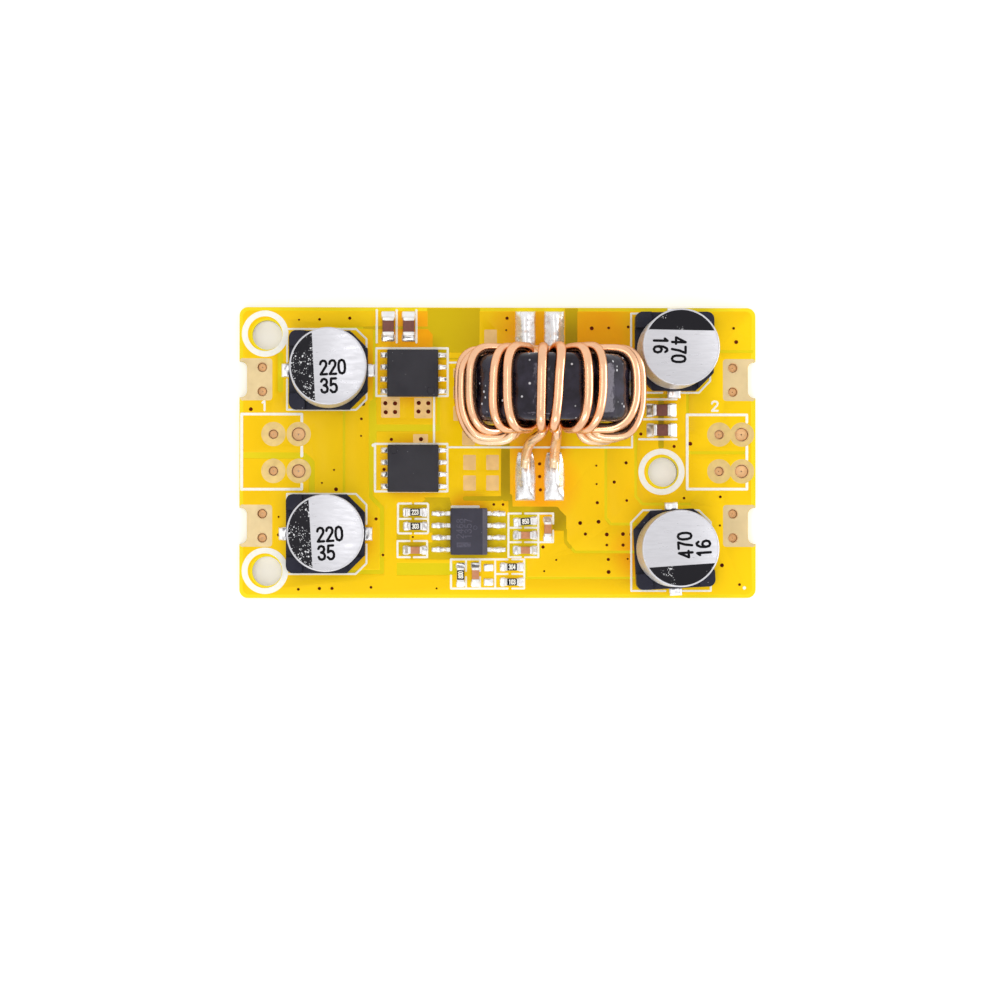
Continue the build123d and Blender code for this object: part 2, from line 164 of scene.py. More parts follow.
VIAS = [
    (-18.79, 14.02), (-15.61, 14.15), (-20.95, 13.97), (-26.0, 4.55), (-14.21, 5.13), (-14.39, 3.55),
    (-14.42, 1.76), (-18.53, -3.19), (-17.26, -1.82), (-17.05, -3.87), (-23.08, -8.66), (-23.08, -6.77),
    (-21.0, -14.38), (-18.79, -14.29), (-17.47, -14.29), (-13.37, -14.17), (-6.47, -14.29), (-12.84, -6.98),
    (-12.11, -10.77), (-8.97, -8.87), (-11.23, 1.39), (-12.0, -1.77), (-0.45, -5.45), (0.53, -5.45),
    (4.39, -1.17), (4.39, -2.51), (4.47, -3.91), (0.87, 12.92), (0.95, 14.18), (9.89, 13.13), (11.68, 13.18),
    (13.74, 13.28), (24.89, 13.16), (25.16, 11.71), (15.07, 1.99), (10.37, -1.35), (13.51, -1.05),
    (10.4, -3.29), (12.26, -3.08), (10.47, -5.26), (13.58, -5.03), (8.66, -7.4), (10.6, -7.27), (9.21, -8.56),
    (11.47, -8.61), (13.18, -8.56), (14.0, -8.61), (11.47, -9.72), (13.19, -9.72), (11.63, -11.24),
    (13.68, -11.19), (6.14, -11.29), (4.87, -12.47), (11.66, -12.56), (4.74, -9.93), (20.29, 0.97),
    (18.58, 0.68), (19.63, -4.77), (23.47, -4.63), (23.42, -7.66), (23.63, -11.85), (25.49, -13.89),
]

# Places where the mask is warmer, from flux and from painted shade round the parts: middle and reach
FLUX_AND_SHADE_SPOTS = [
    (4.4, -3.4, 5.2), (10.5, 12.0, 6.5), (3.2, 12.5, 5.0), (-8.9, 12.6, 5.0), (-9.0, 8.4, 4.6), (-9.0, -1.7, 4.4),
    (16.5, 9.5, 6.0), (15.2, -10.6, 4.2), (-15.4, 8.8, 4.4), (-16.0, -9.0, 4.0), (-3.1, -6.5, 3.0),
    (4.0, 0.5, 4.5),
]

# Shady places between the copper areas: middle and reach
SHADY_SPOTS = [(1.5, -2.0, 5.0), (5.8, -6.5, 3.0), (17.2, 3.0, 3.0), (7.7, 11.0, 4.5)]

# White printed lines: width and middle line of each
PRINT_LINES = [
    (0.27, [(-20.65, 3.25), (-20.65, 4.04), (-26.96, 4.04), (-26.96, -3.86), (-20.65, -3.86), (-20.65, -3.3)]),
    (0.27, [(-20.65, 0.66), (-20.65, -0.35)]),
    (0.27, [(26.28, 3.25), (26.28, 4.02), (19.97, 4.02), (19.97, -3.82), (26.28, -3.82), (26.28, -3.15)]),
    (0.27, [(26.28, 0.75), (26.28, -0.7)]),
    (0.19, [(-22.2, 9.55), (-22.2, 13.0), (-14.95, 13.0), (-13.85, 11.95), (-13.85, 9.75)]),
    (0.19, [(-13.85, 7.5), (-13.85, 5.6), (-14.95, 4.5), (-22.2, 4.5), (-22.2, 7.7)]),
    (0.19, [(-22.2, -7.6), (-22.2, -4.35), (-14.95, -4.35), (-13.85, -5.5), (-13.85, -7.5)]),
    (0.19, [(-13.85, -9.65), (-13.85, -11.65), (-15.0, -12.77), (-22.2, -12.77), (-22.2, -9.45)]),
    (0.19, [(17.35, 6.35), (15.2, 6.35), (14.05, 7.5), (14.05, 14.7), (17.5, 14.7)]),
    (0.19, [(19.6, 14.7), (22.4, 14.7), (22.4, 7.6), (21.2, 6.35), (19.0, 6.35)]),
    (0.19, [(17.2, -6.05), (15.3, -6.05), (14.05, -7.35), (14.05, -14.55), (17.65, -14.55)]),
    (0.19, [(19.35, -14.55), (22.45, -14.55), (22.45, -7.3), (21.2, -6.05), (19.85, -6.05)]),
    (0.21, [(-12.81, 10.99), (-5.3, 10.99), (-5.3, 5.97), (-12.81, 5.97), (-12.81, 10.99)]),
    (0.21, [(-12.95, 0.92), (-5.34, 0.92), (-5.34, -4.08), (-12.95, -4.08), (-12.95, 0.92)]),
    (0.21, [(-6.74, 6.0), (-6.74, 0.92)]),
    (0.19, [(-5.3, 9.49), (-1.5, 9.49)]),
    (0.19, [(-5.3, 0.57), (14.14, 0.57), (14.14, 2.6)]),
    (0.21, [(-12.77, 15.0), (-12.77, 11.6)]),
    (0.21, [(-10.68, 15.0), (-10.68, 11.6)]),
    (0.21, [(-8.6, 15.0), (-8.6, 11.6)]),
    (0.21, [(15.2, 5.65), (18.84, 5.65)]),
    (0.21, [(14.9, 3.55), (18.84, 3.55)]),
    (0.21, [(14.9, 1.44), (18.84, 1.44)]),
    (0.19, [(-9.15, -5.35), (-10.45, -5.35), (-10.53, -5.45), (-10.53, -8.4), (-10.45, -8.5), (-9.15, -8.5)]),
    (0.19, [(-8.75, -5.35), (-7.45, -5.35), (-7.37, -5.45), (-7.37, -8.4), (-7.45, -8.5), (-8.75, -8.5)]),
    (0.19, [(-10.53, -6.97), (-9.2, -6.97)]),
    (0.19, [(-8.7, -6.97), (-7.37, -6.97)]),
    (0.19, [(-9.3, -9.3), (-10.58, -9.3), (-10.58, -11.0), (-9.3, -11.0)]),
    (0.19, [(-8.85, -9.3), (-7.47, -9.3), (-7.47, -11.0), (-8.85, -11.0)]),
    (0.19, [(2.4, -6.4), (1.1, -6.4), (1.1, -11.0), (2.4, -11.0)]),
    (0.19, [(2.85, -6.4), (5.8, -6.4), (5.8, -7.45)]),
    (0.19, [(5.8, -8.2), (5.8, -9.42), (2.85, -9.42)]),
    (0.19, [(4.24, -6.4), (4.24, -11.0), (2.85, -11.0)]),
    (0.19, [(1.1, -7.9), (2.4, -7.9)]),
    (0.19, [(2.85, -7.9), (4.24, -7.9)]),
    (0.19, [(1.1, -9.42), (2.4, -9.42)]),
    (0.21, [(1.0, -11.23), (-4.95, -11.23), (-4.95, -12.35)]),
    (0.21, [(-4.95, -12.95), (-4.95, -14.3), (1.0, -14.3)]),
    (0.19, [(-3.37, -11.23), (-3.37, -12.45)]),
    (0.19, [(-3.37, -13.1), (-3.37, -14.3)]),
    (0.19, [(-1.9, -11.23), (-1.9, -12.45)]),
    (0.19, [(-1.9, -13.1), (-1.9, -14.3)]),
    (0.19, [(-0.3, -11.23), (-0.3, -14.3)]),
    (0.19, [(-0.3, -12.77), (1.0, -12.77)]),
    (0.19, [(1.5, -11.23), (2.75, -11.23), (2.75, -14.3), (1.5, -14.3)]),
    (0.19, [(1.5, -12.77), (2.75, -12.77)]),
    (0.27, [(-4.82, -5.7), (-2.05, -5.7)]),
]
PRINT_RINGS = [(-24.5, 12.5), (-24.5, -12.43), (17.25, -2.0)]
PRINT_RING_RADII = (1.84, 2.43)
PRINT_SLOPE = 0.03
PRINT_DOTS = [(26.0, -14.24, 0.17), (-13.12, 0.78, 0.17)]
PLACE_NUMBERS = [("1", -24.6, 4.95), ("2", 22.9, 4.95)]

# Each digit's strokes in a box one wide
DIGIT_HEIGHT = 1.6
DIGIT_PITCH = 1.45
DIGITS = {
    "0": [[(0.5, 0), (0.84, 0.12), (1, 0.5), (1, 1.1), (0.84, 1.48), (0.5, 1.6), (0.16, 1.48), (0, 1.1), (0, 0.5),
           (0.16, 0.12), (0.5, 0)]],
    "1": [[(0.22, 1.28), (0.56, 1.6), (0.56, 0)]],
    "2": [[(0, 1.2), (0.1, 1.46), (0.42, 1.6), (0.78, 1.54), (0.97, 1.28), (0.9, 0.95), (0, 0), (1, 0)]],
    "3": [[(0.02, 1.3), (0.2, 1.54), (0.52, 1.6), (0.84, 1.48), (0.93, 1.2), (0.8, 0.95), (0.42, 0.84)],
          [(0.42, 0.84), (0.85, 0.72), (1, 0.44), (0.88, 0.12), (0.5, 0), (0.14, 0.08), (0, 0.34)]],
    "4": [[(0.74, 0), (0.74, 1.6), (0, 0.46), (1, 0.46)]],
    "5": [[(0.92, 1.6), (0.16, 1.6), (0.07, 0.82), (0.45, 0.98), (0.82, 0.9), (1, 0.6), (0.95, 0.24), (0.68, 0.02),
           (0.3, 0), (0, 0.26)]],
    "6": [[(0.9, 1.36), (0.66, 1.6), (0.34, 1.54), (0.08, 1.16), (0, 0.6), (0.12, 0.14), (0.48, 0), (0.86, 0.12),
           (1, 0.48), (0.84, 0.82), (0.48, 0.94), (0.14, 0.8), (0.02, 0.5)]],
    "7": [[(0, 1.6), (1, 1.6), (0.62, 0.86), (0.42, 0)]],
    "8": [[(0.5, 0.86), (0.1, 1.06), (0.1, 1.4), (0.5, 1.6), (0.9, 1.4), (0.9, 1.06), (0.5, 0.86), (0.06, 0.64),
           (0, 0.28), (0.2, 0.03), (0.5, 0), (0.8, 0.03), (1, 0.28), (0.94, 0.64), (0.5, 0.86)]],
    "9": [[(0.98, 0.9), (0.8, 0.7), (0.4, 0.66), (0.06, 0.9), (0, 1.24), (0.2, 1.54), (0.56, 1.6), (0.9, 1.44),
           (1, 1.0), (0.9, 0.4), (0.62, 0.02), (0.2, 0.08)]],
}

# Capacitors: place of the can's middle, turn, and the print on top: numbers, their place along and across,
# where the dark mark ends and how far the print is turned
CAPACITORS = {
    "input_capacitor_1": (-17.86, 8.64, 0, ("220", "35"), 0.47, -0.14, -1.5, 2.8),
    "input_capacitor_2": (-18.15, -8.55, 0, ("220", "35"), 0.47, -0.14, -1.5, 3.4),
    "output_capacitor_1": (18.57, 10.67, -90, ("470", "16"), 0.3, -0.26, -1.75, -1.0),
    "output_capacitor_2": (18.50, -10.13, 93, ("470", "16"), 0.3, -0.48, -1.75, 1.0),
}
CAN_SEAT = 0.9
CAN_HEIGHT = 10.2
CAN_TOP = 10.17
GROOVE_HEIGHT = 2.6
GROOVE_HALF = 0.55
PRINT_HEIGHT = 1.4
PRINT_NARROW = 0.74
PRINT_STROKE = 0.25
PRINT_ROW = 1.88
# The base's half side, its clipped and rounded corners, and the size and top of its corner posts
BASE_HALF = 4.15
BASE_CLIP = 1.9
BASE_CORNER = 0.75
BASE_POST = 1.7
BASE_POST_TOP = 1.7
BASE_REACH = 8.6
# Where the solder at a tab starts and ends, from the can's middle, shorter where the board ends
TAB_START = 3.95
TAB_END = 4.95
SHORT_TAB_END = 4.6

# Ring inductor: middle of the core, and the radius, depth and half length of its section
CORE = Vector((5.05, 6.28, 11.4))
CORE_MIDDLE = 6.65
CORE_DEPTH = 4.3
CORE_HALF_LENGTH = 3.5
# Where the leads pass the hole and the core's faces, and how far each turn reaches from its middle
HOLE_PATH = 3.995
FACE_PATH = 4.225
RING_MIDDLE = 6.715
RING_REACH = 2.71
FRONT_REACH = 4.1
BACK_REACH = 4.0
INNER_SQUARENESS = 4.5
TURN_STEPS = 44
# Distance from the core's middle at which the enamel ends and the tin is full
ENAMEL_END = 4.3
TIN_START = 5.6
LEAD_WIRE_Z = 2.155
FRONT_JOINT_Y = -2.5
BACK_JOINT_Y = 12.35
JOINT_HALF = 2.575
JOINT_HALF_WIDTH = 1.1
JOINT_RIDGE = 1.14
LEAD_END_INSET = 1.9
FRONT_TOUCH_INSET = 0.5
BACK_TOUCH_INSET = 1.2
# Each strand of the winding: where its leads pass the hole, and for every turn the angles behind,
# on the rim and in front, its slant, its bulge in front and how square it is there
STRANDS = {
    "a": {
        "leads": (-193.3, 131),
        "back": [-193.3, -106, -44, -12, 17, 50, 92],
        "rim": [-120, -90, -40, -8, 21.5, 66, 108],
        "front": [-138, -52, -40, -13, 14, 46, 120],
        "slant": [0, 0, 2, 1, 0, 0, 0],
        "bulge": [0.75, 1.25, 0.1, 0.1, 0.1, 0.0, 0.85],
        "square": [2.6, 2.9, 2.6, 3.0, 1.9, 2.1, 2.6],
        "back_bulge": 0.0,
        "front_knee": (0.85, -1.4, -6.6),
        "back_knee": (2.6, 0.1, -6.2),
        "joint_x": 5.92,
    },
    "b": {
        "leads": (-175.4, 149),
        "back": [-175.4, -72, -29, 2, 31, 70, 108],
        "rim": [-76, -62.5, -29.8, 2.5, 31.5, 88, 121],
        "front": [-66, -80, -27, 2, 29, 84, 137],
        "slant": [0, 0, 0, 3, 1, 0, 0],
        "bulge": [0.85, 0.2, 0.1, 0.1, 0.15, 0.7, 1.1],
        "square": [2.7, 2.5, 2.6, 3.0, 2.0, 2.8, 2.6],
        "back_bulge": 0.1,
        "front_knee": (-1.9, -1.0, -6.0),
        "back_knee": (-0.6, 0.1, -6.6),
        "joint_x": 2.88,
    },
}

# Packages: the transistors' middles and dimples, their half sizes and how far they draw in on the way up
TRANSISTORS = {"transistor_1": (-9.0, 8.36, 1.9, -1.85), "transistor_2": (-8.95, -1.66, -2.05, 1.9)}
TRANSISTOR_HALF = (2.7, 2.5)
TRANSISTOR_HEIGHT = 1.0
TRANSISTOR_INSETS = [(0.03, 0.0), (0.0, 0.3), (0.05, 0.9), (0.07, 0.96), (0.12, TRANSISTOR_HEIGHT)]
DIMPLE_RADIUS = 0.42
DIMPLE_DEPTH = 0.06
LEAD_ROWS = [-1.905, -0.635, 0.635, 1.905]
CONTROLLER = (-3.1, -8.31)
CONTROLLER_HALF = (1.95, 2.45)
CONTROLLER_LOW = 0.1
CONTROLLER_HIGH = 1.55
CONTROLLER_DOT = (0.65, 0.4)

# Chips: length, width, height, end cap length
CHIP_SIZES = {
    "large": (2.0, 1.25, 0.95, 0.45),
    "small": (1.6, 0.8, 0.75, 0.35),
    "resistor": (1.6, 0.8, 0.45, 0.32),
}
CERAMICS = {
    "ceramic_capacitor_1": ("large", -11.58, 13.28, 90),
    "ceramic_capacitor_2": ("large", -9.42, 13.28, 90),
    "ceramic_capacitor_3": ("large", 17.23, 4.49, 0),
    "ceramic_capacitor_4": ("large", 17.28, 2.39, 0),
    "ceramic_capacitor_5": ("small", -8.74, -10.27, 0),
    "ceramic_capacitor_6": ("small", 2.87, -8.69, 0),
    "ceramic_capacitor_7": ("small", 2.86, -10.27, 0),
    "ceramic_capacitor_8": ("small", 5.24, -8.03, 90),
    "ceramic_capacitor_9": ("small", -2.39, -12.84, 90),
}
RESISTORS = {
    "resistor_1": (-8.74, -6.27, 0, "223"),
    "resistor_2": (-8.71, -7.75, 0, "303"),
    "resistor_3": (2.89, -7.24, 5, "850"),
    "resistor_4": (-3.95, -12.87, 90, "800"),
    "resistor_5": (1.47, -12.03, 0, "304"),
    "resistor_6": (1.47, -13.61, 0, "103"),
}
# How far the solder runs out past a chip's end, how much wider than the chip it is and how it narrows
FILLETS = {"large": (0.62, 0.28, 0.12), "small": (0.52, 0.24, 0.3), "resistor": (0.5, 0.2, 0.3)}
# Solder at the leads, along X from the middle of the package
SINGLE_LEAD_DROP = -3.04
JOINED_LEAD_DROP = 3.14
TOE_DROP = 3.17
HEEL_DROP = 2.34
EMPTY_CHIP_PAD = (1.05, 0.8)
EMPTY_CHIP_PADS = [(-1.0, -12.1), (-1.0, -13.63)]

# Colours of small patches, as linear values
WHITE_CERAMIC = (0.78, 0.77, 0.74)
BARE_METAL = (0.78, 0.78, 0.8)
PLASTIC_DUST = (0.62, 0.62, 0.64)
COATING_DUST = (0.6, 0.6, 0.62)

# Camera and floor: the camera's place across the floor and its aim in metres, the floor in millimetres
CAMERA_PLACE = (-0.0161, -0.01235)
CAMERA_AIM = (0.00021, -0.00498, 0.0016)
FLOOR_SIZE = 2400
FLOOR_TOP = -0.12
FLOOR_LOW = -3.0


# Settings


def length_setting(name, description, default, low, high):
    """A size in metres."""
    return FloatProperty(
        name=name, description=description, default=default, min=low, max=high, unit="LENGTH", precision=5
    )


def strength_setting(name, description, default):
    """The strength of a light."""
    return FloatProperty(name=name, description=description, default=default, min=0, max=20)


def colour_setting(name, description, red, green, blue):
    """A colour, given as a screen shows it."""
    return FloatVectorProperty(
        name=name, description=description, default=screen(red, green, blue), min=0, max=1, size=3, subtype="COLOR"
    )


class BoardSettings(bpy.types.PropertyGroup):
    """Colours and thicknesses of the board's own layers."""

    mask: colour_setting("Mask over copper", "Colour of the mask where copper lies under it", 254, 211, 14)
    # The warm mask stands for flux and also for painted shade round the parts
    warm: colour_setting("Warm mask", "Colour of the mask where flux and shade warm it", 254, 168, 8)
    rim: colour_setting("Mask over laminate", "Colour of the mask along the board's edges", 253, 226, 34)
    glow: colour_setting("Light channels", "Colour of channels where light comes through the board", 226, 206, 8)
    shade: colour_setting("Dark channels", "Colour of channels where parts shade the board", 214, 178, 10)
    laminate: colour_setting("Laminate", "Colour of the board's cut edge", 222, 205, 120)
    pad: colour_setting("Bare pads", "Colour of the bare pads inside the board", 238, 196, 128)
    contact: colour_setting("Contacts", "Colour of the plated pads at the board's ends", 230, 205, 154)
    ring: colour_setting("Ring pads", "Colour of the pads round the terminal holes", 229, 198, 128)
    # Also colours the raised hole floors, which paint the shade and tint seen down the holes
    barrel: colour_setting("Plated holes", "Colour of the plating inside the lead holes", 254, 216, 164)
    print: colour_setting("Print", "Colour of the printed lines", 255, 252, 240)
    # The via colour is the reddish fill and also painted shade down the hole
    via: colour_setting("Via holes", "Colour of the small filled holes between the layers", 112, 34, 8)
    skirt: length_setting("Copper edge", "How far the mask slopes down at a copper edge", 0.00009, 0, 0.0003)


class CapacitorSettings(bpy.types.PropertyGroup):
    """Sizes and colours of the four can capacitors."""

    radius: length_setting("Can radius", "Radius of the aluminium can", 0.004, 0.003, 0.0045)
    edge: length_setting("Top edge", "Radius of the can's top edge", 0.00014, 0.0001, 0.0006)
    groove: length_setting("Groove", "Depth of the rolled groove", 0.0003, 0, 0.0006)
    metal: colour_setting("Can", "Colour of the bare aluminium", 206, 205, 210)
    ink: colour_setting("Ink", "Colour of the numbers and of the minus mark", 15, 13, 21)
    plastic: colour_setting("Base", "Colour of the moulded base", 23, 23, 44)


class InductorSettings(bpy.types.PropertyGroup):
    """Sizes and colours of the wound ring."""

    wire: length_setting("Wire radius", "Radius of the enamelled wire", 0.00052, 0.0003, 0.0006)
    hug: FloatProperty(
        name="Lead bends", description="How closely the leads follow their corners", default=0.8, min=0, max=1,
        subtype="FACTOR",
    )
    squareness: FloatProperty(
        name="Squareness", description="How square each turn is behind, 2 being round", default=3.2, min=2, max=8
    )
    rounding: length_setting("Core rounding", "Radius of the core's coated edges", 0.0013, 0.0003, 0.002)
    copper: colour_setting("Wire", "Colour of the enamelled copper", 252, 199, 158)
    tinned: colour_setting("Tinned leads", "Colour of the wire's stripped and tinned ends", 252, 222, 182)
    coating: colour_setting("Coating", "Colour of the core's coating", 12, 10, 17)
    # The paler patches paint a soft sheen on the coating
    painted_sheen: colour_setting("Coating sheen", "Colour of the coating's paler patches", 46, 43, 57)
    solder: colour_setting("Solder", "Colour of the solder", 246, 245, 246)


class PackageSettings(bpy.types.PropertyGroup):
    """Colours of the moulded packages and chips."""

    transistor: colour_setting("Transistor body", "Colour of the power transistors", 44, 42, 50)
    controller: colour_setting("Controller body", "Colour of the controller", 58, 56, 70)
    # The bevel's paler colour paints the sheen of its polished face
    bevel: colour_setting("Controller bevel", "Colour of the controller's polished bevel", 84, 81, 95)
    marking: colour_setting("Marking", "Colour of the etched mark on the controller", 92, 90, 104)
    tin: colour_setting("Tin", "Colour of leads, tabs and end caps", 226, 224, 222)
    dark_ceramic: colour_setting("Large ceramic", "Colour of the large chip capacitors", 124, 70, 58)
    light_ceramic: colour_setting("Small ceramic", "Colour of the small chip capacitors", 208, 140, 98)
    glaze: colour_setting("Resistor cover", "Colour of the resistors' glaze", 5, 5, 6)


class StageSettings(bpy.types.PropertyGroup):
    """Camera, lamps and floor."""

    lens: FloatProperty(name="Lens", description="Focal length of the camera", default=155.3, min=20, max=400)
    distance: length_setting("Camera height", "Height of the camera over the floor", 0.4556, 0.1, 2)
    sky: strength_setting("Sky", "Strength of the even light from all round", 0.88)
    front: strength_setting("Front lamp", "Power of the lamp in front", 0.31)
    side: strength_setting("Side lamp", "Power of the low lamp on the right", 0.6)
    top: strength_setting("Top lamp", "Power of the narrow lamp above", 0.15)
    floor: colour_setting("Floor", "Colour of the pale floor", 252, 252, 253)


class ConverterSettings(bpy.types.PropertyGroup):
    """All settings of the converter board."""

    board: PointerProperty(type=BoardSettings)
    capacitor: PointerProperty(type=CapacitorSettings)
    inductor: PointerProperty(type=InductorSettings)
    package: PointerProperty(type=PackageSettings)
    stage: PointerProperty(type=StageSettings)


# Outlines and skins, in millimetres


def circle(x, y, radius, steps=40):
    """A round outline."""
    return [(x + radius * cos(tau * i / steps), y + radius * sin(tau * i / steps)) for i in range(steps)]


def rounded(x, y, length, width, corner, steps=4):
    """A rectangle with rounded corners."""
    outline = []
    half_x = length / 2 - corner
    half_y = width / 2 - corner
    for quarter, (side_x, side_y) in enumerate([(1, 1), (-1, 1), (-1, -1), (1, -1)]):
        for step in range(steps + 1):
            turn = (quarter + step / steps) * pi / 2
            outline.append((x + (side_x * half_x + corner * cos(turn)), y + (side_y * half_y + corner * sin(turn))))
    return outline


def stroke(points, width, steps=12):
    """Outlines that together cover a line of that width: a box for each run and a disc at each point."""
    half = width / 2
    outlines = [circle(x, y, half, steps) for x, y in points]
    for (ax, ay), (bx, by) in zip(points, points[1:]):
        run = hypot(bx - ax, by - ay)
        nx = -(by - ay) / run * half
        ny = (bx - ax) / run * half
        outlines.append([(ax - nx, ay - ny), (bx - nx, by - ny), (bx + nx, by + ny), (ax + nx, ay + ny)])
    return outlines


def strokes(table, steps=12):
    """The strokes of a table of widths and middle lines."""
    return [shape for width, points in table for shape in stroke(points, width, steps)]


def number_strokes(text, x, y, height, width, narrow=1.0, angle=0.0):
    """Outlines of a number centred on x, y."""
    scale = height / DIGIT_HEIGHT
    spin = radians(angle)
    outlines = []
    for place, digit in enumerate(text):
        shift = (place - (len(text) - 1) / 2) * (DIGIT_PITCH * scale) - scale / 2
        for line in DIGITS[digit]:
            points = [((u * scale + shift) * narrow, v * scale - height / 2) for u, v in line]
            turned = [(x + u * cos(spin) - v * sin(spin), y + u * sin(spin) + v * cos(spin)) for u, v in points]
            outlines += stroke(turned, width, 8)
    return outlines


def loft(rings, cap_low=True, cap_high=True):
    """Points and faces of a skin over rings of equally many points, listed anticlockwise and from low to high."""
    count = len(rings[0])
    points = [Vector(p) for ring in rings for p in ring]
    faces = []
    for low in range(0, (len(rings) - 1) * count, count):
        for i in range(count):
            j = (i + 1) % count
            faces.append((low + i, low + j, low + count + j, low + count + i))
    if cap_low:
        faces.append(tuple(reversed(range(count))))
    if cap_high:
        faces.append(tuple(range(len(points) - count, len(points))))
    return points, faces


def lathe(profile, steps, cap_low=True, cap_high=True):
    """A skin turned round Z from a profile of radius and height."""
    rings = [[(x, y, z) for x, y in circle(0, 0, radius, steps)] for radius, z in profile]
    return loft(rings, cap_low, cap_high)


def prism(outline, low, high):
    """A skin round an outline from one height to another."""
    return loft([[(x, y, z) for x, y in outline] for z in (low, high)])


def rounded_block(length, width, low, high, corner, steps=3):
    """A block with all its edges rounded, centred on Z."""
    levels = []
    for step in range(steps + 1):
        turn = step / steps * pi / 2
        levels.append((corner * (1 - sin(turn)), low + corner * (1 - cos(turn))))
    levels += [(shrink, high + low - z) for shrink, z in reversed(levels)]
    rings = []
    for shrink, z in levels:
        outline = rounded(0, 0, length - 2 * shrink, width - 2 * shrink, max(corner - shrink, 0.004), steps)
        rings.append([(x, y, z) for x, y in outline])
    return loft(rings)


def grid_places(rows, columns):
    """The lowest corner of every square in a grid of points."""
    return [row * (columns + 1) + column for row in range(rows) for column in range(columns)]


def put(x=0.0, y=0.0, z=0.0, angle=0.0):
    """A place on the board, turned about Z."""
    return Matrix.Translation((x, y, z)) @ Matrix.Rotation(radians(angle), 4, "Z")


def anticlockwise(outline):
    """The outline, turned round if it runs clockwise."""
    area = sum(ax * by - bx * ay for (ax, ay), (bx, by) in zip(outline, outline[1:] + outline[:1]))
    return outline if area > 0 else outline[::-1]


def cut_map(layers):
    """Cuts overlapping outlines into triangles: the points, and each triangle with the names that cover it."""
    points = []
    outlines = []
    owners = []
    for name, shapes in layers.items():
        for shape in shapes:
            start = len(points)
            points += [Vector(p) for p in anticlockwise(list(shape))]
            outlines.append(list(range(start, len(points))))
            owners.append(name)
    found = geometry.delaunay_2d_cdt(points, [], outlines, 0, 1e-6)
    corners, triangles, sources = found[0], found[2], found[5]
    return corners, [(tuple(t), {owners[i] for i in source}) for t, source in zip(triangles, sources) if source]


class Form:
    """Gathers the points and faces of one piece, in millimetres."""

    def __init__(self):
        self.points = []
        self.faces = []
        self.finishes = []

    def add(self, skin, place=None, finish=0):
        """Adds points and faces at a place, with the number of their finish."""
        points, faces = skin
        base = len(self.points)
        self.points += [place @ p if place else p for p in points]
        self.faces += [tuple(base + i for i in face) for face in faces]
        self.finishes += [finish] * len(faces)

    def add_layer(self, corners, triangles, low, high, skirt=0.0, finish=0):
        """Adds a flat layer with sloping edges over triangles that share their corners."""
        edges = dict.fromkeys(edge for a, b, c in triangles for edge in ((a, b), (b, c), (c, a)))
        rim = [(a, b) for a, b in edges if (b, a) not in edges]
        out = {}
        for a, b in rim:
            along = corners[b] - corners[a]
            normal = Vector((along.y, -along.x)).normalized()
            for end in (a, b):
                out[end] = out.get(end, Vector((0, 0))) + normal
        used = sorted({i for t in triangles for i in t})
        top = {i: k for k, i in enumerate(used)}
        points = [Vector((corners[i].x, corners[i].y, high)) for i in used]
        foot = {}
        for i, normal in out.items():
            foot[i] = len(points)
            spread = corners[i] + normal.normalized() * skirt if normal.length > 1e-6 else corners[i]
            points.append(Vector((spread.x, spread.y, low)))
        faces = [(top[a], top[b], top[c]) for a, b, c in triangles]
        faces += [(foot[a], foot[b], top[b], top[a]) for a, b in rim]
        self.add((points, faces if high > low else [face[::-1] for face in faces]), finish=finish)

    def add_shapes(self, shapes, low, high, skirt=0.0, clear=(), finish=0):
        """Adds a flat layer over outlines that may overlap, kept clear of other outlines."""
        corners, triangles = cut_map({"shape": shapes, "clear": clear})
        shown = [triangle for triangle, names in triangles if "clear" not in names]
        self.add_layer(corners, shown, low, high, skirt, finish)

    def move(self, place):
        """Moves all that is in the form."""
        self.points = [place @ p for p in self.points]


def make_piece(name, form, finishes, replaces=(), smooth=30, bevel=0.0):
    """Makes one piece from a form, puts it on its body and hides the nodes that it stands for."""
    mesh = bpy.data.meshes.new(name)
    mesh.from_pydata([p * MM for p in form.points], [], form.faces)
    for key in finishes:
        mesh.materials.append(finish(key))
    mesh.polygons.foreach_set("material_index", form.finishes)
    mesh.validate()
    mesh.update()
    mesh.shade_smooth()
    mesh.set_sharp_from_angle(angle=radians(smooth))
    piece = bpy.data.objects.new(name, mesh)
    bpy.context.scene.collection.objects.link(piece)
    if bevel:
        round_edges(piece, bevel, 3)
    settle(piece, replaces)


def round_edges(piece, width, steps):
    """Rounds a piece's sharp edges by a bevel of that width in millimetres."""
    rounding = piece.modifiers.new("rounded edges", "BEVEL")
    rounding.width = width * MM
    rounding.segments = steps
    rounding.limit_method = "ANGLE"
    rounding.angle_limit = radians(30)
    rounding.harden_normals = True
    rounding.use_clamp_overlap = True


def settle(piece, replaces=()):
    """Puts a piece on its body and hides the nodes that it stands for."""
    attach(piece, BODY)
    if replaces:
        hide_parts(*replaces)


def dress_node(name, key, bevel=0.0):
    """Gives a node of the frame its finish and rounds its edges."""
    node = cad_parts[name]
    node.data.materials.clear()
    node.data.materials.append(finish(key))
    if bevel:
        round_edges(node, bevel, 2)


# Finishes


def shaded(colour, share):
    """A colour with each part multiplied by a share."""
    return tuple(share * part for part in colour)


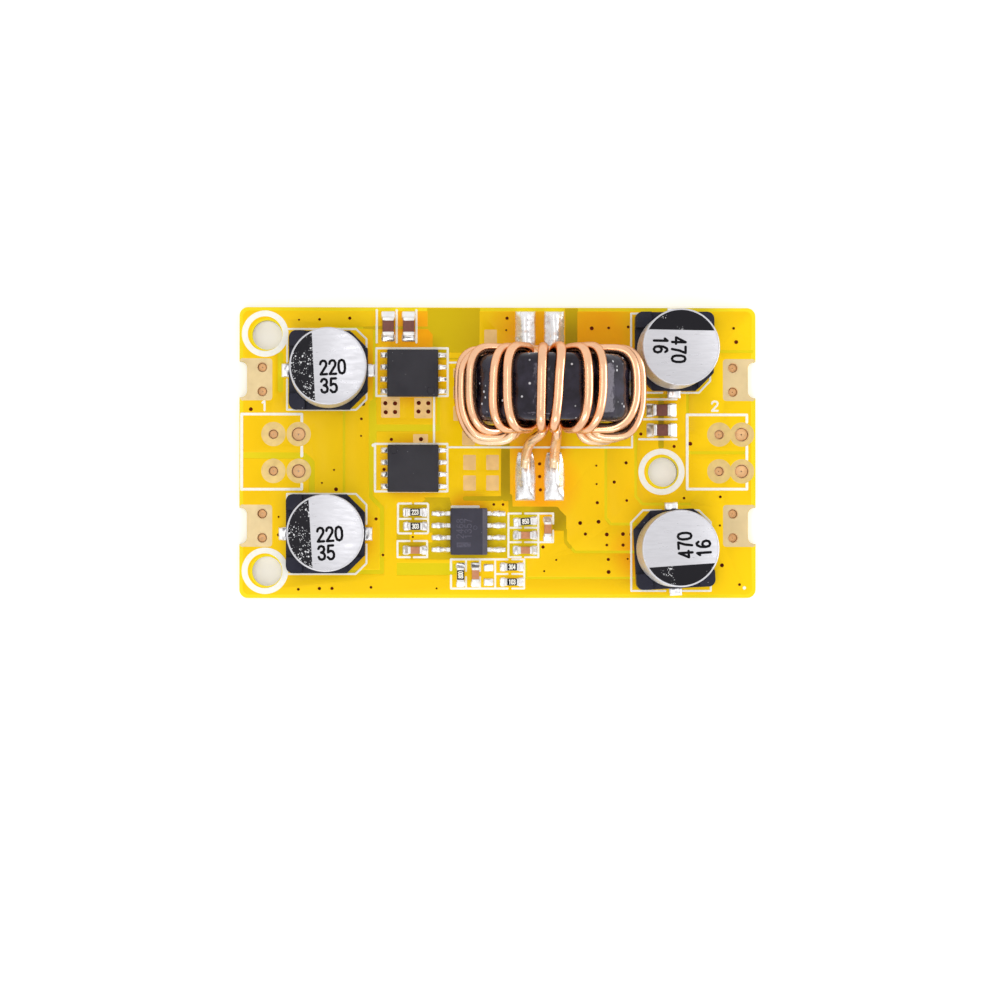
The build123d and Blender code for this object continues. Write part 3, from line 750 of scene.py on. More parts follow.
class Finish:
    """A material and short ways to add nodes to it."""

    def __init__(self, name, colour, roughness, metallic=0.0, specular=0.5):
        self.material = bpy.data.materials.new(name)
        self.material.use_nodes = True
        self.nodes = self.material.node_tree.nodes
        self.links = self.material.node_tree.links
        self.shader = self.nodes["Principled BSDF"]
        self.set("Base Color", (*colour, 1))
        self.set("Roughness", roughness)
        self.set("Metallic", metallic)
        self.set("Specular IOR Level", specular)
        self.place = self.add("ShaderNodeTexCoord").outputs["Object"]
        self.relief = None

    def set(self, socket, value):
        """Sets one of the shader's values."""
        self.shader.inputs[socket].default_value = value

    def add(self, kind, **values):
        """Adds a node. A value names an input or a setting of the node."""
        node = self.nodes.new(kind)
        for key, value in values.items():
            if key in node.inputs:
                self.feed(node.inputs[key], value)
            else:
                setattr(node, key, value)
        return node

    def feed(self, socket, value):
        """Links an output to a socket, or sets the socket's value."""
        if isinstance(value, bpy.types.NodeSocket):
            self.links.new(value, socket)
        else:
            socket.default_value = value

    def noise(self, scale, detail, stretch=None):
        """A cloudy pattern from 0 to 1, scale in patches to the metre."""
        place = self.place
        if stretch:
            place = self.add("ShaderNodeMapping", Vector=place, Scale=stretch).outputs[0]
        return self.add("ShaderNodeTexNoise", Vector=place, Scale=scale, Detail=detail).outputs[0]

    def specks(self, scale, size):
        """1 at small scattered specks and 0 elsewhere."""
        cells = self.add("ShaderNodeTexVoronoi", Vector=self.place, Scale=scale)
        return self.range(cells.outputs["Distance"], size, size * 0.6)

    def range(self, value, low, high, to_low=0.0, to_high=1.0):
        """Stretches a value from one range to another, kept inside it."""
        node = self.nodes.new("ShaderNodeMapRange")
        for socket, given in zip(node.inputs, (value, low, high, to_low, to_high)):
            self.feed(socket, given)
        return node.outputs[0]

    def maths(self, operation, first, second):
        """Two values added, multiplied or compared."""
        node = self.add("ShaderNodeMath", operation=operation)
        self.feed(node.inputs[0], first)
        self.feed(node.inputs[1], second)
        return node.outputs[0]

    def blend(self, factor, first, second):
        """A colour between two others."""
        node = self.add("ShaderNodeMix", data_type="RGBA")
        self.feed(node.inputs[0], factor)
        for socket, colour in ((node.inputs[6], first), (node.inputs[7], second)):
            self.feed(socket, colour if isinstance(colour, bpy.types.NodeSocket) else (*colour, 1))
        return node.outputs[2]

    def tint(self, colour):
        """Sets the colour from a pattern."""
        self.feed(self.shader.inputs["Base Color"], colour)

    def mottle(self, colour, darker, scale, low, high, stretch=None):
        """Gives the colour soft darker patches."""
        cloud = self.range(self.noise(scale, 3, stretch), low, high)
        mixed = self.blend(cloud, colour, shaded(colour, darker))
        self.tint(mixed)
        return mixed

    def rough(self, scale, low, high, stretch=None):
        """Varies the roughness between two values."""
        self.feed(self.shader.inputs["Roughness"], self.range(self.noise(scale, 3, stretch), 0.3, 0.7, low, high))

    def bump(self, height, depth, strength=0.5):
        """Adds relief from a pattern, depth in millimetres."""
        node = self.add("ShaderNodeBump", Strength=strength, Distance=depth * MM, Height=height)
        if self.relief:
            self.links.new(self.relief, node.inputs["Normal"])
        self.relief = node.outputs[0]
        self.links.new(self.relief, self.shader.inputs["Normal"])


def mottled(name, colour, roughness, metallic, specular, rough, patches, *reliefs):
    """A finish with soft darker patches and relief, and a roughness that varies where its scale and range are given.

    Patches are their darkness, scale and range; a relief is its scale and detail, its depth and its strength.
    Each may end with a stretch.
    """
    made = Finish(name, colour, roughness, metallic, specular)
    made.mottle(colour, *patches)
    for scale, detail, depth, strength, *stretch in reliefs:
        made.bump(made.noise(scale, detail, *stretch), depth, strength)
    if rough:
        made.rough(*rough)
    return made


def glossy_mask(name, colour):
    """Glossy solder mask with a fine uneven skin."""
    made = Finish(name, colour, 0.3, specular=0.09)
    made.bump(made.noise(650, 4), 0.012, 0.4)
    made.bump(made.noise(5200, 2), 0.002, 0.3)
    made.rough(260, 0.22, 0.42)
    return made


def drift(made, amount):
    """How far a mask's colour drifts towards a second one, up to an amount."""
    return made.range(made.noise(90, 2), 0.3, 0.75, 0, amount)


def near_spots(made, spots):
    """1 near any of the spots, falling to 0 at its reach."""
    near = None
    for x, y, reach in spots:
        apart = made.add("ShaderNodeVectorMath", operation="DISTANCE", Vector=made.place)
        apart.inputs[1].default_value = (x * MM, y * MM, BOARD_TOP * MM)
        share = made.range(apart.outputs["Value"], reach * MM, reach * 0.35 * MM)
        near = share if near is None else made.maths("MAXIMUM", near, share)
    return near


def copper_mask(name, board):
    """Mask over copper: yellow, and warmer round the parts, where flux lies and where shade is painted."""
    made = glossy_mask(name, board.mask)
    patchy = made.range(made.noise(300, 4), 0.25, 0.7, 0.75, 1.0)
    # Flux and painted shade: the mask turns warmer near the spots
    flux_and_shade = made.maths("MULTIPLY", near_spots(made, FLUX_AND_SHADE_SPOTS), patchy)
    made.tint(made.blend(made.maths("MAXIMUM", flux_and_shade, drift(made, 0.22)), board.mask, board.warm))
    return made


def rim_mask(name, board):
    """The board's own skin: lemon mask on both faces, laminate on its cut edges and in its holes."""
    made = glossy_mask(name, board.rim)
    way = made.add("ShaderNodeSeparateXYZ", Vector=made.add("ShaderNodeNewGeometry").outputs["Normal"])
    upright = made.maths("GREATER_THAN", made.maths("ABSOLUTE", way.outputs["Z"], 0), 0.5)
    layers = made.range(made.noise(1400, 3, (1, 1, 9)), 0.35, 0.65)
    glass = made.blend(layers, board.laminate, shaded(board.laminate, 0.72))
    # Patches of the faces drift towards the glow colour: painted light coming through the board
    face = made.blend(made.range(made.noise(120, 2), 0.3, 0.7, 0, 0.35), board.rim, board.glow)
    made.tint(made.blend(upright, glass, face))
    return made


def light_window(name, board):
    """Mask over laminate where light comes through the board."""
    made = glossy_mask(name, board.glow)
    made.tint(made.blend(drift(made, 0.55), board.glow, board.rim))
    return made


def dark_window(name, board):
    """Mask over laminate that parts shade, darkest round the inductor."""
    made = glossy_mask(name, board.shade)
    bright = made.blend(drift(made, 0.5), board.shade, board.glow)
    made.tint(made.blend(near_spots(made, SHADY_SPOTS), bright, shaded(board.shade, 0.66)))
    return made


def plated(name, colour, scale):
    """Plated copper: matt and slightly uneven."""
    patches = (0.86, scale, 0.35, 0.7)
    return mottled(name, colour, 0.45, 0.55, 0.4, (1500, 0.36, 0.56), patches, (9000, 2, 0.003, 0.5))


def minus_mark(name, colour, wear):
    """The dark printed minus mark, with bright flecks where the metal shows through."""
    made = Finish(name, colour, 0.4, specular=0.2)
    patchy = made.range(made.noise(600, 3), 0.62 - 0.2 * wear, 0.7 - 0.2 * wear)
    flecks = made.maths("MAXIMUM", made.specks(2300, 0.25), made.specks(5600, 0.3))
    made.tint(made.blend(made.maths("MULTIPLY", flecks, patchy), colour, BARE_METAL))
    made.bump(made.noise(4000, 3), 0.004, 0.5)
    made.rough(800, 0.3, 0.5)
    return made


def black_ink(name, colour):
    """Flat black ink with greyer patches."""
    made = Finish(name, shaded(colour, 0.4), 0.6, specular=0.12)
    made.mottle(shaded(colour, 0.35), 2.0, 3000, 0.5, 0.8)
    made.bump(made.noise(6000, 2), 0.004, 0.5)
    return made


def moulded(name, colour, grain, specular=0.35, dust=0.05):
    """Moulded plastic: fine spark-eroded grain, faint flow clouds and a few pale dust specks."""
    made = Finish(name, colour, 0.5, specular=specular)
    mixed = made.blend(made.range(made.noise(350, 3), 0.3, 0.7), colour, shaded(colour, 0.72))
    specks = made.maths("MULTIPLY", made.specks(1500, dust), 0.55)
    made.tint(made.blend(specks, mixed, PLASTIC_DUST))
    made.bump(made.noise(grain, 3), 0.008, 0.6)
    made.rough(500, 0.42, 0.62)
    return made


def bright_metal(name, colour, smoothest, roughest, relief, scale, metallic=1.0):
    """Tin or solder: bright, with soft hollows and a frosted patch here and there."""
    rough = (scale * 1.6, smoothest, roughest)
    reliefs = (scale * 1.4, 3, relief, 0.7), (scale * 9, 2, relief * 0.12, 0.4)
    return mottled(name, colour, smoothest, metallic, 0.5, rough, (0.86, scale, 0.45, 0.75), *reliefs)


def enamelled_wire(name, inductor):
    """Copper under clear enamel, slightly streaked; the stripped leads away from the ring are pale with tin."""
    made = Finish(name, inductor.copper, 0.2, metallic=1.0)
    made.set("Coat Weight", 0.12)
    made.set("Coat Roughness", 0.1)
    made.set("Specular Tint", (0.78, 0.42, 0.24, 1))
    streaked = made.mottle(inductor.copper, 0.86, 500, 0.35, 0.7)
    along = made.add("ShaderNodeSeparateXYZ", Vector=made.place).outputs["Y"]
    away = made.maths("ABSOLUTE", made.maths("SUBTRACT", along, CORE.y * MM), 0)
    tinned = made.range(away, ENAMEL_END * MM, TIN_START * MM)
    made.tint(made.blend(tinned, streaked, inductor.tinned))
    made.feed(made.shader.inputs["Metallic"], made.range(tinned, 0, 1, 1, 0.6))
    made.bump(made.noise(1500, 3), 0.006, 0.4)
    made.rough(900, 0.14, 0.3)
    return made


def thick_coating(name, inductor):
    """Thick glossy coating on the core: dimples, runs, paler patches that paint a soft sheen and a few bright specks
    of dust.
    """
    made = Finish(name, inductor.coating, 0.12, specular=0.38)
    made.set("Specular Tint", (0.95, 0.86, 1, 1))
    dust = made.maths("MULTIPLY", made.specks(1100, 0.17), made.range(made.noise(500, 2), 0.46, 0.54))
    # Painted sheen: clouds of a paler colour over the coating
    cloud = made.range(made.noise(620, 4, (1, 1, 0.6)), 0.42, 0.72)
    made.tint(made.blend(dust, made.blend(cloud, inductor.coating, inductor.painted_sheen), COATING_DUST))
    made.bump(made.noise(360, 3), 0.2, 0.9)
    made.bump(made.noise(1500, 3), 0.04, 0.9)
    made.rough(400, 0.06, 0.18)
    return made


def ceramic(name, colour):
    """Sintered ceramic: fine grain and slightly darker patches."""
    return mottled(name, colour, 0.4, 0, 0.4, None, (0.82, 2400, 0.35, 0.65), (9000, 2, 0.006, 0.5))


def pale_paper(name, colour):
    """Pale even paper, a little brighter to the camera."""
    made = mottled(name, colour, 0.9, 0, 0.1, None, (0.985, 30, 0.4, 0.6))
    seen = made.add("ShaderNodeLightPath").outputs["Is Camera Ray"]
    made.set("Emission Color", (1, 0.96, 0.93, 1))
    made.feed(made.shader.inputs["Emission Strength"], made.maths("MULTIPLY", seen, 0.24))
    return made


# Each finish: its recipe, its material's name, its colour or the settings that colour it, and the recipe's values
RECIPES = {
    "copper_mask": (copper_mask, "mask over copper", "board"),
    "rim_mask": (rim_mask, "mask over laminate", "board"),
    "light_window": (light_window, "mask over bright laminate", "board"),
    "dark_window": (dark_window, "mask over shaded laminate", "board"),
    "pad": (plated, "bare pads", "board.pad", 700),
    "contact": (plated, "contact pads", "board.contact", 400),
    "ring": (plated, "ring pads", "board.ring", 1200),
    "barrel": (
        mottled, "plated holes", "board.barrel", 0.4, 0, 0.2, None, (0.85, 2500, 0.3, 0.7), (6000, 2, 0.01, 0.5),
    ),
    "print": (
        mottled, "white print", "board.print", 0.55, 0, 0.25, None, (0.93, 2600, 0.45, 0.75), (5000, 3, 0.006, 0.6),
    ),
    "via": (mottled, "via fill", "board.via", 0.5, 0, 0.05, None, (0.4, 1900, 0.35, 0.65), (4000, 2, 0.01, 0.5)),
    "can": (
        mottled, "can aluminium", "capacitor.metal", 0.3, 0.5, 0.5, (700, 0.26, 0.42, (1, 4, 1)),
        (0.93, 900, 0.4, 0.7, (1, 6, 1)), (2500, 4, 0.004, 0.35, (1, 7, 1)), (14000, 2, 0.001, 0.4),
    ),
    "minus_mark": (minus_mark, "minus mark", "capacitor.ink", 0.2),
    "worn_mark": (minus_mark, "worn minus mark", "capacitor.ink", 1.0),
    "ink": (black_ink, "can ink", "capacitor.ink"),
    "base_plastic": (moulded, "moulded base", "capacitor.plastic", 7000, 0.35, 0.09),
    "transistor": (moulded, "transistor body", "package.transistor", 6000),
    "controller": (moulded, "controller body", "package.controller", 8000),
    # Paler than the body: a painted sheen on the polished bevel
    "bevel": (moulded, "controller bevel", "package.bevel", 9000, 0.5),
    "marking": (
        mottled, "etched mark", "package.marking", 0.75, 0, 0.2, None, (0.7, 5000, 0.35, 0.65), (9000, 2, 0.01, 0.7),
    ),
    "tin": (bright_metal, "tin plate", "package.tin", 0.3, 0.52, 0.006, 1500),
    "solder": (bright_metal, "solder", "inductor.solder", 0.16, 0.34, 0.016, 900, 0.7),
    "small_solder": (bright_metal, "small solder", "inductor.solder", 0.3, 0.5, 0.005, 1600),
    "wire": (enamelled_wire, "enamelled copper", "inductor"),
    "coating": (thick_coating, "core coating", "inductor"),
    "dark_ceramic": (ceramic, "large ceramic", "package.dark_ceramic"),
    "light_ceramic": (ceramic, "small ceramic", "package.light_ceramic"),
    "substrate": (ceramic, "resistor ceramic", WHITE_CERAMIC),
    "glaze": (
        mottled, "resistor cover", "package.glaze", 0.35, 0, 0.08, None, (0.6, 2000, 0.35, 0.65),
        (3500, 2, 0.008, 0.5),
    ),
    "floor": (pale_paper, "pale floor", "stage.floor"),
}
MATERIALS = {}


def finish(key):
    """The material of a finish, made at its first use."""
    if key not in MATERIALS:
        recipe, name, colours, *values = RECIPES[key]
        if isinstance(colours, str):
            colours = bpy.context.scene.converter.path_resolve(colours)
        MATERIALS[key] = recipe(name, colours, *values).material
    return MATERIALS[key]


# Board


def lead_holes():
    """Middle and radius of every plated hole."""
    for side_x, side_y in CORNERS:
        for half in (-1, 1):
            yield side_x * EDGE_HOLE_X, side_y * EDGE_CONTACT_Y + half * EDGE_HOLE_HALF_PITCH, SMALL_HOLE
    for x, radius in TERMINAL_HOLES:
        for y in (-TERMINAL_Y, TERMINAL_Y):
            yield x, y, radius


def hole_outlines():
    """Every hole and notch that a layer has to leave open, and the bare laminate round the fixing holes."""
    holes = [circle(x, y, radius + HOLE_CLEARANCE, 44) for x, y, radius in lead_holes()]
    holes += [circle(x, y, FIXING_CLEAR_RADIUS, 48) for x, y in FIXING_HOLES]
    return holes + [rounded(side_x * BOARD_HALF_X, side_y * EDGE_CONTACT_Y, *NOTCH, 6) for side_x, side_y in CORNERS]


def ring_pads():
    """The pads round the terminal holes."""
    return [circle(x, y, RING_PAD_RADIUS, 48) for x, _ in TERMINAL_HOLES for y in (-TERMINAL_Y, TERMINAL_Y)]


def contact_pads():
    """The pads at the board's ends."""
    return [rounded(side_x * CONTACT_X, side_y * EDGE_CONTACT_Y, *CONTACT, 4) for side_x, side_y in CORNERS]


def kind_of_face(names):
    """What shows where the outlines of those names overlap, or nothing."""
    if "open" in names:
        return None
    for pad in ("pad", "contact", "ring"):
        if pad in names:
            return pad
    if "copper" in names and ("trace" in names or not names & {"dark", "light"}):
        return "copper"
    return "dark" if "dark" in names else "light" if "light" in names else None


def board_layers(light, dark=(), traces=(), pads=()):
    """One face of the board sorted into copper under mask, light and dark windows, and bare pads."""
    margin = 2 * COPPER_MARGIN
    corners, triangles = cut_map({
        "copper": [rounded(0, 0, 2 * BOARD_HALF_X - margin, 2 * BOARD_HALF_Y - margin, 0.6, 5)],
        "light": light,
        "dark": dark,
        "trace": traces,
        "pad": pads,
        "contact": contact_pads(),
        "ring": ring_pads(),
        "open": hole_outlines(),
    })
    sorted_faces = {}
    for triangle, names in triangles:
        sorted_faces.setdefault(kind_of_face(names), []).append(triangle)
    return corners, sorted_faces


def dress_board(settings):
    """Mask, copper areas, windows and pads on both faces, round the board's own solid."""
    dress_node("circuit_board", "rim_mask")
    spare = [rounded(x, y, length, width, 0.12, 2) for x, y, length, width in SPARE_PADS]
    spare += [rounded(x, y, *EMPTY_CHIP_PAD, 0.1, 2) for x, y in EMPTY_CHIP_PADS]
    light = strokes(LIGHT_CHANNELS) + LIGHT_WINDOWS
    corners, top = board_layers(light, strokes(DARK_CHANNELS) + DARK_WINDOWS, TRACES, spare)
    under_corners, under = board_layers(strokes(UNDER_CHANNELS))
    mask_slope = settings.board.skirt / MM
    for kind, name, key, slot, rise, slope in (
        ("copper", "copper_areas", "copper_mask", "solder_mask", MASK_RISE, mask_slope),
        ("light", "light_windows", "light_window", "solder_mask", WINDOW_RISE, 0),
        ("dark", "dark_windows", "dark_window", "solder_mask", WINDOW_RISE, 0),
        ("pad", "bare_pads", "pad", "tinned_metal", PAD_RISE, PAD_SLOPE),
        ("contact", "contact_pads", "contact", "tinned_metal", PAD_RISE, PAD_SLOPE),
        ("ring", "ring_pads", "ring", "tinned_metal", PAD_RISE, PAD_SLOPE),
    ):
        form = Form()
        form.add_layer(corners, top[kind], BOARD_TOP, BOARD_TOP + rise, slope)
        if kind in under:
            form.add_layer(under_corners, under[kind], 0, -rise * UNDER_RISE, slope)
        make_piece(name, form, [key])


def line_holes():
    """The plated barrels of the lead holes: a narrow deep moat round a raised floor with a fine bore. The moat and
    the tan floor are made up and paint the dark rim and the shaded, tinted table seen down an open hole.
    """
    form = Form()
    low = -MASK_RISE * UNDER_RISE
    high = BOARD_TOP + PAD_RISE + 0.004
    # A made-up moat and floor: painted shade down each hole
    moat = high - 1.2
    floor = high - 0.6
    for x, y, radius in lead_holes():
        outer = radius - 0.004
        inner = radius - 0.045
        bore = 0.1 * inner
        profile = [(outer, low), (outer, high), (inner + 0.02, high), (inner, high - 0.03), (inner - 0.01, moat),
                   (inner - 0.05, moat), (inner - 0.075, floor - 0.02), (bore, floor), (bore, low), (outer, low)]
        form.add(lathe(profile, 40, False, False), put(x, y))
    make_piece("hole_plating", form, ["barrel"], smooth=50)


def print_board():
    """The white print: outlines of the parts, rings round the fixing holes and the places' numbers."""
    shapes = strokes(PRINT_LINES, 10)
    shapes += [circle(x, y, radius, 16) for x, y, radius in PRINT_DOTS]
    for text, x, y in PLACE_NUMBERS:
        shapes += number_strokes(text, x, y, 1.0, 0.2)
    inner, outer = PRINT_RING_RADII
    shapes += [circle(x, y, outer, 64) for x, y in PRINT_RINGS]
    clear = [circle(x, y, inner, 64) for x, y in PRINT_RINGS] + contact_pads() + ring_pads()
    form = Form()
    form.add_shapes(shapes, BOARD_TOP, BOARD_TOP + PRINT_RISE, PRINT_SLOPE, clear)
    make_piece("white_print", form, ["print"])


def add_vias():
    """Small craters where the layers join: a raised ring of mask round a dark sunken middle, whose colour is the
    via's reddish fill and painted shade down its hole.
    """
    form = Form()
    random.seed(4)
    for number, (x, y) in enumerate(VIAS + PAD_VIAS):
        in_pad = number >= len(VIAS)
        size = 1.25 if in_pad else random.choice((0.6, 0.8, 0.95, 1.15))
        low = BOARD_TOP + (PAD_RISE if in_pad else MASK_RISE)
        rim = [(0.32 * size, low - 0.01), (0.27 * size, low + 0.012), (0.21 * size, low + 0.012), (0.17 * size, low)]
        form.add(lathe(rim, 20, False, False), put(x, y), 2 if in_pad else 0)
        # Reddish fill and painted shade in the via's middle
        middle = [(0.18 * size, low + 0.006), (0.1 * size, low + 0.003), (0.01, low + 0.002)]
        form.add(lathe(middle, 20, False), put(x, y), 1)
    make_piece("vias", form, ["copper_mask", "via", "pad"], smooth=60)


# Capacitors


def can_profile(radius, edge, groove):
    """Radius and height up the can: shoulder over the base, rolled groove, wall, rounded edge and flat top."""
    profile = [(radius - 0.3, CAN_SEAT + 0.01), (radius - 0.06, CAN_SEAT + 0.08), (radius, CAN_SEAT + 0.3)]
    for step in range(13):
        share = step / 6 - 1
        profile.append((radius - groove * (0.5 + 0.5 * cos(share * pi)), GROOVE_HEIGHT + share * GROOVE_HALF))
    profile.append((radius, CAN_HEIGHT - edge - 0.4))
    for step in range(9):
        turn = step / 8 * pi / 2
        profile.append((radius - edge * (1 - cos(turn)), CAN_HEIGHT - edge * (1 - sin(turn))))
    profile += [(radius - edge - 0.03, CAN_HEIGHT - 0.02), (radius - edge - 0.06, CAN_TOP), (0.05, CAN_TOP)]
    return profile


def base_outline():
    """The base: two clipped corners at the plus end and two rounded ones."""
    half = BASE_HALF
    corner = BASE_CORNER
    outline = [(half, -half + BASE_CLIP), (half, half - BASE_CLIP), (half - BASE_CLIP, half)]
    for side in (1, -1):
        turns = [step / 6 * pi / 2 for step in range(7)]
        arc = [(-half + corner - corner * sin(turn), side * (half - corner + corner * cos(turn))) for turn in turns]
        outline += arc[::side]
    outline.append((half - BASE_CLIP, -half))
    return outline


def make_capacitors(settings):
    """Can, minus mark, numbers, base and tabs of each capacitor."""
    radius, edge, groove = (size / MM for size in (settings.radius, settings.edge, settings.groove))
    for name, (x, y, angle, *top_print) in CAPACITORS.items():
        place = put(x, y, BOARD_TOP, angle)
        can = Form()
        can.add(lathe(can_profile(radius, edge, groove), 96), place)
        make_piece(f"{name}_can_shell", can, ["can"], [f"{name}_can"], smooth=40)
        add_can_print(name, place, radius - edge - 0.03, *top_print)
        add_base(name, place, radius)
        dress_node(f"{name}_tabs", "tin", 0.05)


def add_can_print(name, place, flat, rows, left, first_row, chord, tilt):
    """The minus mark and the numbers on a can's flat top, in the can's own directions."""
    low = CAN_TOP - 0.002
    place = place @ Matrix.Rotation(radians(tilt), 4, "Z")
    first = acos(chord / flat)
    turns = [first + (tau - 2 * first) * step / 48 for step in range(49)]
    mark = Form()
    mark.add_shapes([[(flat * cos(turn), flat * sin(turn)) for turn in turns]], low, low + 0.012, 0.01)
    mark.move(place)
    mark_finish = "worn_mark" if name.startswith("input") else "minus_mark"
    make_piece(f"{name}_minus_mark", mark, [mark_finish])
    shapes = []
    for row, text in enumerate(rows):
        start = left + (len(text) - 3) * 0.5 * DIGIT_PITCH * PRINT_NARROW * PRINT_HEIGHT / DIGIT_HEIGHT
        shapes += number_strokes(text, start, first_row - PRINT_ROW * row, PRINT_HEIGHT, PRINT_STROKE, PRINT_NARROW)
    numbers = Form()
    numbers.add_shapes(shapes, low, low + 0.014, 0.012)
    numbers.move(place)
    make_piece(f"{name}_numbers", numbers, ["ink"])


def add_base(name, place, radius):
    """The moulded base: plate, and corner posts that follow the can."""
    outline = base_outline()
    gap = 2 * (BASE_HALF - BASE_POST)
    seat = [circle(0, 0, radius + 0.06, 72), rounded(0, 0, BASE_REACH, gap, 0.2), rounded(0, 0, gap, BASE_REACH, 0.2)]
    form = Form()
    form.add(prism(outline, 0, CAN_SEAT))
    form.add_shapes([outline], CAN_SEAT - 0.02, BASE_POST_TOP, 0, seat)
    form.move(place)
    make_piece(f"{name}_base_moulding", form, ["base_plastic"], [f"{name}_base"], bevel=0.07)


# Inductor


def on_ring(angle, radius, along):
    """A point beside the core: angle from straight up, distance from its axis, place along its axis."""
    turn = radians(angle)
    return Vector((CORE.x + radius * sin(turn), CORE.y + along, CORE.z + radius * cos(turn)))


def lead_line(corners, hug):
    """Points of a smooth line from the first corner to the last, bending near the ones between."""
    middles = [(a + b) / 2 for a, b in zip(corners, corners[1:])]
    line = [corners[0]]
    for before, corner, after in zip(middles, corners[1:], middles[1:]):
        toward = before.lerp(corner, hug)
        away = after.lerp(corner, hug)
        line += geometry.interpolate_bezier(before, toward, away, after, 12)
    return [*line, corners[-1]]


def turn_line(strand, number, squareness):
    """Points of one turn: out of the hole at the back, over the rim to the front and down to the hole."""
    fronts = [strand["leads"][0], *strand["front"]]
    backs = [*strand["back"], strand["leads"][1]]
    line = []
    for step in range(TURN_STEPS):
        phase = tau * step / TURN_STEPS
        out = -cos(phase)
        along = sin(phase)
        if out < 0:
            square = INNER_SQUARENESS
        else:
            square = squareness if along >= 0 else strand["square"][number]
        share = (copysign(abs(out) ** (2 / square), out) + 1) / 2
        length = abs(along) ** (2 / square)
        if along >= 0:
            place = BACK_REACH * length + strand["back_bulge"] * along ** 3
        else:
            place = -FRONT_REACH * length + strand["bulge"][number] * along ** 3
        pair = number if step <= TURN_STEPS / 2 else number + 1
        depth = min(1, max(0, (place + FRONT_REACH) / (FRONT_REACH + BACK_REACH)))
        angle = fronts[pair] + (backs[pair] - fronts[pair]) * depth
        inner = on_ring(angle, RING_MIDDLE - RING_REACH, place)
        outer = on_ring(strand["rim"][number] + strand["slant"][number] * along, RING_MIDDLE + RING_REACH, place)
        line.append(inner.lerp(outer, share))
    return line


def strand_line(strand, settings):
    """Points of one strand: front lead, seven turns, back lead."""
    enter, leave = strand["leads"]
    joint_x = strand["joint_x"]
    front = [
        Vector((joint_x, FRONT_JOINT_Y - JOINT_HALF + LEAD_END_INSET, LEAD_WIRE_Z)),
        Vector((joint_x, FRONT_JOINT_Y + JOINT_HALF - FRONT_TOUCH_INSET, LEAD_WIRE_Z)),
        Vector(strand["front_knee"]) + CORE - Vector((0, FACE_PATH, 0)),
        on_ring(enter, HOLE_PATH, -FACE_PATH),
        on_ring(enter, HOLE_PATH, 0),
    ]
    back = [
        on_ring(leave, HOLE_PATH, 0),
        on_ring(leave, HOLE_PATH, FACE_PATH),
        Vector(strand["back_knee"]) + CORE + Vector((0, FACE_PATH, 0)),
        Vector((joint_x, BACK_JOINT_Y - JOINT_HALF + BACK_TOUCH_INSET, LEAD_WIRE_Z)),
        Vector((joint_x, BACK_JOINT_Y + JOINT_HALF - LEAD_END_INSET, LEAD_WIRE_Z)),
    ]
    line = lead_line(front, settings.hug)[:-1]
    for number in range(len(strand["rim"])):
        line += turn_line(strand, number, settings.squareness)
    return line + lead_line(back, settings.hug)


def wind_strands(settings):
    """A round wire along the line of each strand."""
    for key, strand in STRANDS.items():
        curve = bpy.data.curves.new(f"winding_strand_{key}", "CURVE")
        curve.dimensions = "3D"
        curve.bevel_depth = settings.wire
        curve.bevel_resolution = 5
        curve.use_fill_caps = True
        curve.materials.append(finish("wire"))
        line = strand_line(strand, settings)
        spline = curve.splines.new("POLY")
        spline.points.add(len(line) - 1)
        for point, place in zip(spline.points, line):
            point.co = (*(place * MM), 1)
        spline.use_smooth = True
        piece = bpy.data.objects.new(f"winding_strand_{key}", curve)
        bpy.context.scene.collection.objects.link(piece)
        settle(piece, [f"inductor_winding_{key}"])


def make_core(settings):
    """The coated ring: rounded edges and a slightly uneven thick coat."""
    section = rounded(CORE_MIDDLE, 0, CORE_DEPTH, 2 * CORE_HALF_LENGTH, settings.rounding / MM, 8)
    rings = []
    for step in range(180):
        turn = tau * step / 180
        ring = []
        for radius, along in section:
            point = CORE + Vector((radius * sin(turn), along, radius * cos(turn)))
            lump = noise.noise(point * 0.9) * 0.05 + noise.noise(point * 2.6) * 0.02
            out = Vector((radius - CORE_MIDDLE, along))
            scale = 1 - 0.012 + lump / max(out.length, 1)
            reach = CORE_MIDDLE + out.x * scale
            ring.append(CORE + Vector((reach * sin(turn), out.y * scale, reach * cos(turn))))
        rings.append(ring)
    form = Form()
    form.add(loft([*rings, rings[0]], False, False))
    make_piece("inductor_core_coated", form, ["coating"], ["inductor_core"], smooth=80)


